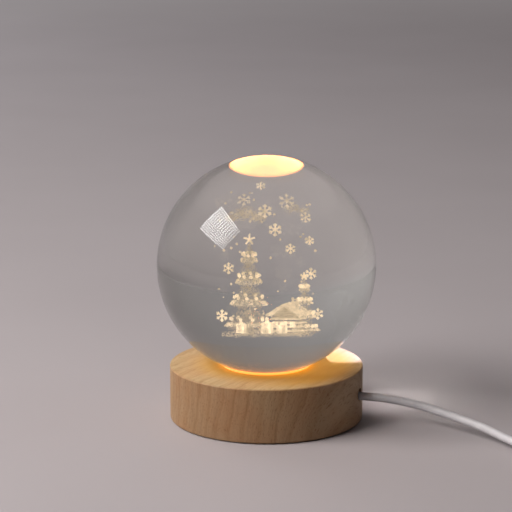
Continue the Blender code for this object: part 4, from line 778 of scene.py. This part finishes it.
def wire(name, line, radius, finish, slot, *nodes):
    """A round wire as a curve of one open spline."""
    curve = bpy.data.curves.new(name, "CURVE")
    curve.dimensions = "3D"
    curve.bevel_depth = radius
    curve.bevel_resolution = 5
    curve.use_fill_caps = True
    spline = curve.splines.new("POLY")
    spline.points.add(len(line) - 1)
    for place, point in zip(spline.points, line):
        place.co = (*point, 1.0)
    spline.use_smooth = True
    curve.materials.append(finish)
    return show(name, curve, "lamp", slot, *nodes)


wire("inner_lead", smooth_line(INNER_RUN), LEAD_RADIUS, JACKET, "lead_jacket", "lead_inside")
for side, colour, pale in ((1, "red", (0.60, 0.035, 0.025)), (-1, "black", (0.032, 0.032, 0.034))):
    cover = uneven_finish(f"{colour}_core_cover", pale, [0.7 * part for part in pale], 900.0, 0.30,
                          0.45, relief=0.05)[0]
    run = smooth_line([(x, CORE_MIDDLE + side * y, z) for x, y, z in CORE_RUN], 0.001)
    wire(f"{colour}_core_wire", run, CORE_RADIUS, cover, f"{colour}_core", f"{colour}_core")

NYLON = uneven_finish("milky_nylon", (0.80, 0.80, 0.76), (0.74, 0.74, 0.70), 700.0, 0.28, 0.42,
                      relief=0.06)[0]
show_node("stop_collar", "stop_tie", NYLON, "nylon_tie")

# ---- Bottom cover ------------------------------------------------------------------------
# A disc of brown fibreboard that closes the pocket, with three countersunk holes. Its short
# pressed fibres lie in every direction of the disc's plane.


def fibre_finish():
    finish, tree, shader = uneven_finish("brown_fibreboard", (0.27, 0.18, 0.11),
                                         (0.19, 0.125, 0.075), 320.0, 0.70, 0.88, relief=0.3)
    strand = put(tree, "ShaderNodeTexWave", {"Vector": object_place(tree), "Scale": 180.0,
                                             "Distortion": 18.0, "Detail": 4.0,
                                             "Detail Scale": 2.0}, wave_type="BANDS")
    tone = ramp(tree, strand.outputs["Fac"], (0.0, (0.82, 0.80, 0.78)), (1.0, (1.06, 1.05, 1.04)))
    feed(shader, Base_Color=mix(tree, 0.7, fed(shader, "Base Color"), tone, "MULTIPLY"))
    return finish


show_node("cover_disc", "bottom_cover", fibre_finish(), "fibreboard")

# ---- Cover screws ------------------------------------------------------------------------
# Three countersunk screws, zinc-plated like those of the board. They hold the cover to the base,
# and their heads lie flush with it.
for i in (1, 2, 3):
    show_node(f"cover_screw_turned_{i}", f"cover_screw_{i}", STEEL, "zinc_steel")

# ---- Anti-slip pad -----------------------------------------------------------------------
# A black foam disc with fine closed cells, cut from sheet and stuck to the cover. The lamp
# stands on it.


def foam_finish():
    finish, tree, shader = uneven_finish("black_foam", (0.040, 0.040, 0.041),
                                         (0.024, 0.024, 0.025), 700.0, 0.85, 0.95, relief=0.2,
                                         Specular_IOR_Level=0.3)
    cells = put(tree, "ShaderNodeTexVoronoi", {"Vector": object_place(tree), "Scale": 2400.0})
    raise_surface(shader, cells.outputs["Distance"], 0.6, over=fed(shader, "Normal"))
    return finish


show_node("foam_disc", "anti_slip_pad", foam_finish(), "foam_pad")

# ---- Switch ------------------------------------------------------------------------------
# An in-line rocker switch: two moulded halves on two screws, the rocker on its pins, and inside
# a spring leaf and a fixed contact, both stamped from brass strip.
SWITCH_PLASTIC = uneven_finish("white_moulded_shell", (0.79, 0.78, 0.76), (0.76, 0.75, 0.73),
                               1600.0, 0.40, 0.52)[0]
ROCKER_PLASTIC = uneven_finish("white_moulded_rocker", (0.82, 0.81, 0.79), (0.80, 0.79, 0.77),
                               1200.0, 0.24, 0.32, relief=0.03)[0]
BRASS = uneven_finish("brass_strip", (0.80, 0.58, 0.25), (0.70, 0.48, 0.19), 800.0, 0.22, 0.36,
                      relief=0.06, Metallic=1.0)[0]
show_node("switch_half_low", "switch_lower", SWITCH_PLASTIC, "switch_shell", angle=30)
show_node("switch_half_top", "switch_upper", SWITCH_PLASTIC, "switch_shell", angle=30)
show_node("switch_cap", "switch_rocker", ROCKER_PLASTIC, "switch_rocker", "rocker", angle=30)
refinish(BRASS, "switch_leaf", "switch_fixed_contact")
for i in (1, 2):
    show_node(f"switch_screw_turned_{i}", f"switch_screw_{i}", STEEL, "zinc_steel")

# ---- Plug --------------------------------------------------------------------------------
# A moulded USB plug: the soft grip with its strain relief, the folded metal shell with its latch
# windows, the insulating tongue and four contact strips.


def shell_finish():
    """Nickel-plated sheet with fine brushed lines from side to side."""
    finish, tree, shader = uneven_finish("nickel_plated_steel", (0.72, 0.71, 0.68),
                                         (0.62, 0.61, 0.59), 900.0, 0.16, 0.30, relief=0,
                                         Metallic=1.0)
    lines = noise(tree, stretched(tree, object_place(tree), (9000, 200, 200)), 1.0, Detail=1.0)
    raise_surface(shader, lines, 0.08)
    return finish


GRIP = uneven_finish("grey_moulded_grip", (0.60, 0.575, 0.57), (0.55, 0.525, 0.52), 1500.0, 0.45,
                     0.58, relief=0.15)[0]
show_node("plug_grip", "plug_overmould", GRIP, "plug_grip")
refinish(shell_finish(), "plug_shell")
refinish(uneven_finish("black_insulator", (0.030, 0.030, 0.031), (0.020, 0.020, 0.021), 1200.0,
                       0.32, 0.45)[0], "plug_tongue")
refinish(BRASS, *[f"plug_contact_{i}" for i in (1, 2, 3, 4)])

# ---- Coil tie ----------------------------------------------------------------------------
# A flat nylon strap, wrapped once round the coil's turns so that they keep their shape on the
# table.
show_node("coil_strap", "coil_tie", NYLON, "nylon_tie")

# ---- Lead --------------------------------------------------------------------------------
# A round two-core lead with a soft light grey jacket. It leaves the bore, lies down to the
# table and is put away in a coil behind the picture's right edge.
LEAD_RUN = [
    (0.0349, 0.0000, 0.0106), (0.0389, -0.0006, 0.0108), (0.0440, -0.0010, 0.0108),
    (0.0499, -0.0007, 0.0102), (0.0579, -0.0006, 0.0090), (0.0659, -0.0016, 0.0074),
    (0.0747, -0.0044, 0.0060), (0.0829, -0.0084, 0.0050), (0.0900, -0.0130, 0.0039),
    (0.0975, -0.0178, 0.0028),
]
SWITCH_RUN = [
    (0.1300, -0.0372, 0.0114), (0.1392, -0.0383, 0.0095), (0.1476, -0.0360, 0.0077),
    (0.1526, -0.0304, 0.0066), (0.1545, -0.0258, 0.0063), (0.1545, -0.0220, 0.00625),
    (0.1545, -0.0170, 0.00625),
]
PLUG_RUN = [
    (0.1545, 0.0168, 0.00625), (0.1545, 0.0240, 0.00625), (0.1545, 0.0268, 0.0062),
    (0.1537, 0.0318, 0.0056), (0.1511, 0.0353, 0.0047), (0.1472, 0.0374, 0.0041),
    (0.1452, 0.0375, 0.0040), (0.1405, 0.0375, 0.0040),
]
COIL_CENTRE = Vector((0.1212, -0.0110, 0))
COIL_OUTER_RADIUS = 0.0204
COIL_PITCH = 0.0035
COIL_LAYERS = 4
COIL_TURNS_PER_LAYER = 2.5
COIL_START_ANGLE = math.radians(237.3)
COIL_POINTS_PER_TURN = 48
COIL_FIRST_HEIGHT = 0.0023
# the lead runs straight and level for these distances before the coil and after it
COIL_STRAIGHTS = (0.0033, 0.0063)


def coil_line():
    """Centre line of the coil, in and out by turns and up half a turn at each reversal."""
    inner = COIL_OUTER_RADIUS - COIL_PITCH * COIL_TURNS_PER_LAYER
    total = COIL_LAYERS * COIL_TURNS_PER_LAYER
    line = []
    for i in range(round(total * COIL_POINTS_PER_TURN) + 1):
        turns = i / COIL_POINTS_PER_TURN
        layer = min(int(turns / COIL_TURNS_PER_LAYER), COIL_LAYERS - 1)
        along = COIL_PITCH * (turns - layer * COIL_TURNS_PER_LAYER)
        radius = inner + along if layer % 2 else COIL_OUTER_RADIUS - along
        climbed = sum(min(max((turns - k * COIL_TURNS_PER_LAYER) * 2 + 0.5, 0), 1)
                      for k in range(1, COIL_LAYERS))
        angle = COIL_START_ANGLE + 2 * math.pi * turns
        line.append(COIL_CENTRE + Vector((radius * math.cos(angle), radius * math.sin(angle),
                                          COIL_FIRST_HEIGHT + COIL_PITCH * climbed)))
    return line


def level_direction(start, end):
    direction = (end - start).normalized()
    direction.z = 0
    return direction


coil = coil_line()
into_coil = level_direction(coil[0], coil[1])
out_of_coil = level_direction(coil[-2], coil[-1])
first_run = smooth_line(LEAD_RUN + [coil[0] - into_coil * d for d in reversed(COIL_STRAIGHTS)])
switch_run = smooth_line([coil[-1] + out_of_coil * d for d in COIL_STRAIGHTS] + SWITCH_RUN)
long_line = first_run + coil + switch_run
plug_line = smooth_line(PLUG_RUN)
lead_long = wire("lead_to_switch_run", long_line, LEAD_RADIUS, JACKET, "lead_jacket",
                 "lead_to_coil", "lead_coil", "lead_to_switch")
lead_short = wire("lead_to_plug_run", plug_line, LEAD_RADIUS, JACKET, "lead_jacket",
                  "lead_to_plug")

# ---- Table, lights and camera ------------------------------------------------------------
# A plain pale table top, one large softbox with a grid high on the left, a weak uneven sky, and
# the camera at the photograph's place. Directions are given as the camera sees them.
VIEW_TURN = math.radians(16)
VIEW_RIGHT = Vector((math.cos(VIEW_TURN), math.sin(VIEW_TURN), 0))
VIEW_AWAY = Vector((-math.sin(VIEW_TURN), math.cos(VIEW_TURN), 0))
UP = Vector((0, 0, 1))
LOOK_AT = UP * 0.0574
LOOK_DISTANCE = 0.8
LOOK_ELEVATION = math.radians(13.01)
SENSOR_WIDTH = 36
PICTURE_WIDTH = 512
PICTURE_FOCAL_LENGTH = 2195
BALL_IN_PICTURE = (266.4, 264.9)
TABLE_RADIUS = 2.4
# where the table fades into the sky, seen straight and through the ball
HAZE = (1.0, 2.0)
HAZE_IN_BALL = (0.32, 1.1)
TABLE_SPECULAR = 0.25
SKY_STRENGTH = 1.18


def as_seen(right, away, up):
    return VIEW_RIGHT * right + VIEW_AWAY * away + UP * up


def sky_colour(tree, outward):
    """The studio's colour in a direction: paler on the picture's left and behind the lamp."""
    def facing_share(direction):
        along = vectors(tree, "DOT_PRODUCT", outward, direction)
        return maths(tree, "MULTIPLY_ADD", along, 0.5, 0.5)

    across = ramp(tree, facing_share(-VIEW_RIGHT), (0.0, (0.150, 0.135, 0.132)),
                  (0.45, (0.228, 0.211, 0.213)), (1.0, (0.405, 0.380, 0.380)))
    depth = ramp(tree, facing_share(VIEW_AWAY), (0.0, 0.10), (0.45, 0.28), (0.70, 1.0), (1.0, 1.0))
    level = ramp(tree, height_of(tree, outward), (0.0, 1.0), (0.12, 0.95), (0.35, 0.84),
                 (1.0, 0.76))
    placed = mix(tree, 1.0, across, depth, "MULTIPLY")
    return scaled(tree, mix(tree, 1.0, placed, level, "MULTIPLY"), SKY_STRENGTH)


def table_finish():
    """Pale and matt. Towards its far edge it fades into the colour of the sky behind it."""
    finish, tree, shader = new_finish("pale_table", Roughness=0.55, Emission_Strength=1.0)
    place = object_place(tree)
    cloud = noise(tree, place, 9.0, Detail=2.0)
    pale = ramp(tree, cloud, (0.3, (0.385, 0.350, 0.358)), (0.7, (0.40, 0.365, 0.373)))
    reach = vectors(tree, "LENGTH", place)
    # seen through the ball the far table is small, so there it melts into the sky sooner
    refracted = put(tree, "ShaderNodeLightPath").outputs["Is Transmission Ray"]
    sooner = maths(tree, "MULTIPLY", between(tree, reach, *HAZE_IN_BALL, curve="SMOOTHSTEP"),
                   refracted)
    far = maths(tree, "MAXIMUM", between(tree, reach, *HAZE, curve="SMOOTHSTEP"), sooner)
    outward = vectors(tree, "NORMALIZE", place)
    feed(shader, Base_Color=mix(tree, far, pale, (0, 0, 0, 1)),
         Specular_IOR_Level=maths(tree, "MULTIPLY_ADD", far, -TABLE_SPECULAR, TABLE_SPECULAR),
         Emission_Color=mix(tree, far, (0, 0, 0, 1), sky_colour(tree, outward)))
    return finish


bpy.ops.mesh.primitive_circle_add(vertices=128, radius=TABLE_RADIUS, fill_type="TRIFAN")
table_top = bpy.context.object
table_top.name = "table_top"
table_top.data.materials.append(table_finish())

KEY_DIRECTION = as_seen(-0.709, -0.297, 0.640).normalized()
SOFTBOX_DISTANCE = 1.2
SOFTBOX_SHIFT = Vector((0.022, 0, 0))
SOFTBOX_WIDTH = 0.84
SOFTBOX_HEIGHT = 0.54
SOFTBOX_ROLL = math.radians(-11)
SOFTBOX_POWER = 21.5
SOFTBOX_CELLS = (13.0, 14.0)
SOFTBOX_CELL_GAP = 0.52
KEY_LIGHT_GAP = 0.01
FAR_LIGHT_SIZE = 0.7
FAR_LIGHT_POWER = 8.0


def softbox_finish():
    """A lit cloth behind an egg-crate grid, whose walls show as fine dark lines."""
    finish, tree, shader = new_finish("gridded_softbox", Base_Color=(0, 0, 0, 1), Roughness=1.0,
                                      Emission_Strength=15.0)
    chart = put(tree, "ShaderNodeTexCoord").outputs["UV"]
    split = put(tree, "ShaderNodeSeparateXYZ", {"Vector": chart}).outputs

    def walls(along, count, dark):
        part = maths(tree, "FRACT", maths(tree, "MULTIPLY", along, count))
        return ramp(tree, maths(tree, "GREATER_THAN", part, SOFTBOX_CELL_GAP), (0.0, dark),
                    (1.0, (1.0, 0.99, 0.98)))

    standing = walls(split["X"], SOFTBOX_CELLS[0], 0.16)
    lying = walls(split["Y"], SOFTBOX_CELLS[1], 0.10)
    where = ramp(tree, split["Y"], (0.0, 0.0), (0.38, 0.0), (0.46, 1.0), (0.84, 1.0), (0.88, 0.0),
                 (1.0, 0.0))
    fade = ramp(tree, split["X"], (0.0, 1.0), (0.75, 0.9), (1.0, 0.35))
    feed(shader, Emission_Color=mix(tree, 1.0, mix(tree, where, lying, standing), fade,
                                    "MULTIPLY"))
    return finish


key_turn = (KEY_DIRECTION.to_track_quat("Z", "Y")
            @ Matrix.Rotation(SOFTBOX_ROLL, 4, "Z").to_quaternion())
key_place = LOOK_AT + KEY_DIRECTION * SOFTBOX_DISTANCE + key_turn @ SOFTBOX_SHIFT
bpy.ops.mesh.primitive_plane_add(size=1)
softbox_front = bpy.context.object
softbox_front.name = "softbox_front"
softbox_front.scale = (SOFTBOX_WIDTH, SOFTBOX_HEIGHT, 1)
softbox_front.location = key_place
softbox_front.rotation_euler = key_turn.to_euler()
softbox_front.data.materials.append(softbox_finish())
softbox_front.visible_diffuse = False
softbox_front.visible_shadow = False


def hang_light(name, kind, place, turn, power, colour, **settings):
    """A light that neither shows itself nor its reflection."""
    lamp = bpy.data.lights.new(name, kind)
    lamp.energy = power
    lamp.color = colour
    for setting, value in settings.items():
        setattr(lamp, setting, value)
    holder = bpy.data.objects.new(name, lamp)
    bpy.context.scene.collection.objects.link(holder)
    holder.location = place
    holder.rotation_euler = turn.to_euler()
    holder.visible_camera = False
    holder.visible_glossy = False
    holder.visible_transmission = False
    return holder


# the light lies just in front of the softbox's cloth
key_light = hang_light("key_light", "AREA", key_place - KEY_DIRECTION * KEY_LIGHT_GAP, key_turn,
                       SOFTBOX_POWER, (1.0, 0.965, 0.94), shape="RECTANGLE", size=SOFTBOX_WIDTH,
                       size_y=SOFTBOX_HEIGHT)
key_light.data.cycles.is_caustics_light = True
bpy.data.objects["glass_ball"].cycles.is_caustics_caster = True
for receiver in ("turned_base", "table_top"):
    bpy.data.objects[receiver].cycles.is_caustics_receiver = True
hang_light("far_left_light", "AREA", as_seen(-0.95, 1.10, 0.8), UP.to_track_quat("Z", "Y"),
           FAR_LIGHT_POWER, (0.94, 0.96, 1.0), shape="RECTANGLE", size=FAR_LIGHT_SIZE,
           size_y=FAR_LIGHT_SIZE)

# the key light comes through the ball: a bright patch on the wood's far right edge, and a faint
# one on the table beside it. Each has its spot, the way to its light, and the light's power,
# colour, angle in degrees and softness
THROUGH_BALL = {
    "patch_light": ((0.0302, 0.0163, BASE_TOP), (0.52, 0.17, 0.84), 94.0, (0.42, 0.42, 0.84), 3.3,
                    0.5),
    "spill_light": ((0.0450, 0.0190, 0), (0.50, 0.30, 0.80), 7.0, (1.0, 0.97, 0.95), 3.7, 1.0),
}
THROUGH_BALL_DISTANCE = 0.6
for name, (spot, way, power, colour, angle, blend) in THROUGH_BALL.items():
    direction = as_seen(*way).normalized()
    hang_light(name, "SPOT", as_seen(*spot) + direction * THROUGH_BALL_DISTANCE,
               direction.to_track_quat("Z", "Y"), power, colour, spot_size=math.radians(angle),
               spot_blend=blend, shadow_soft_size=0.0)
linking = bpy.data.objects["patch_light"].light_linking
linking.receiver_collection = bpy.data.collections.new("patch_receivers")
linking.receiver_collection.objects.link(bpy.data.objects["turned_base"])

world = bpy.data.worlds.new("studio")
bpy.context.scene.world = world
world.use_nodes = True
sky = world.node_tree
compass = put(sky, "ShaderNodeTexCoord").outputs["Generated"]
give(sky.nodes["Background"], {"Color": sky_colour(sky, compass), "Strength": 1.0})

back = as_seen(0, -math.cos(LOOK_ELEVATION), math.sin(LOOK_ELEVATION))
camera = bpy.data.objects.new("photo_camera", bpy.data.cameras.new("photo_camera"))
bpy.context.scene.collection.objects.link(camera)
camera.location = LOOK_AT + back * LOOK_DISTANCE
camera.rotation_euler = back.to_track_quat("Z", "Y").to_euler()
camera.data.sensor_width = SENSOR_WIDTH
camera.data.lens = PICTURE_FOCAL_LENGTH / PICTURE_WIDTH * SENSOR_WIDTH
camera.data.shift_x = (PICTURE_WIDTH / 2 - BALL_IN_PICTURE[0]) / PICTURE_WIDTH
camera.data.shift_y = (BALL_IN_PICTURE[1] - PICTURE_WIDTH / 2) / PICTURE_WIDTH
bpy.context.scene.camera = camera
bpy.context.scene.view_settings.view_transform = "Standard"

bpy.context.view_layer.update()
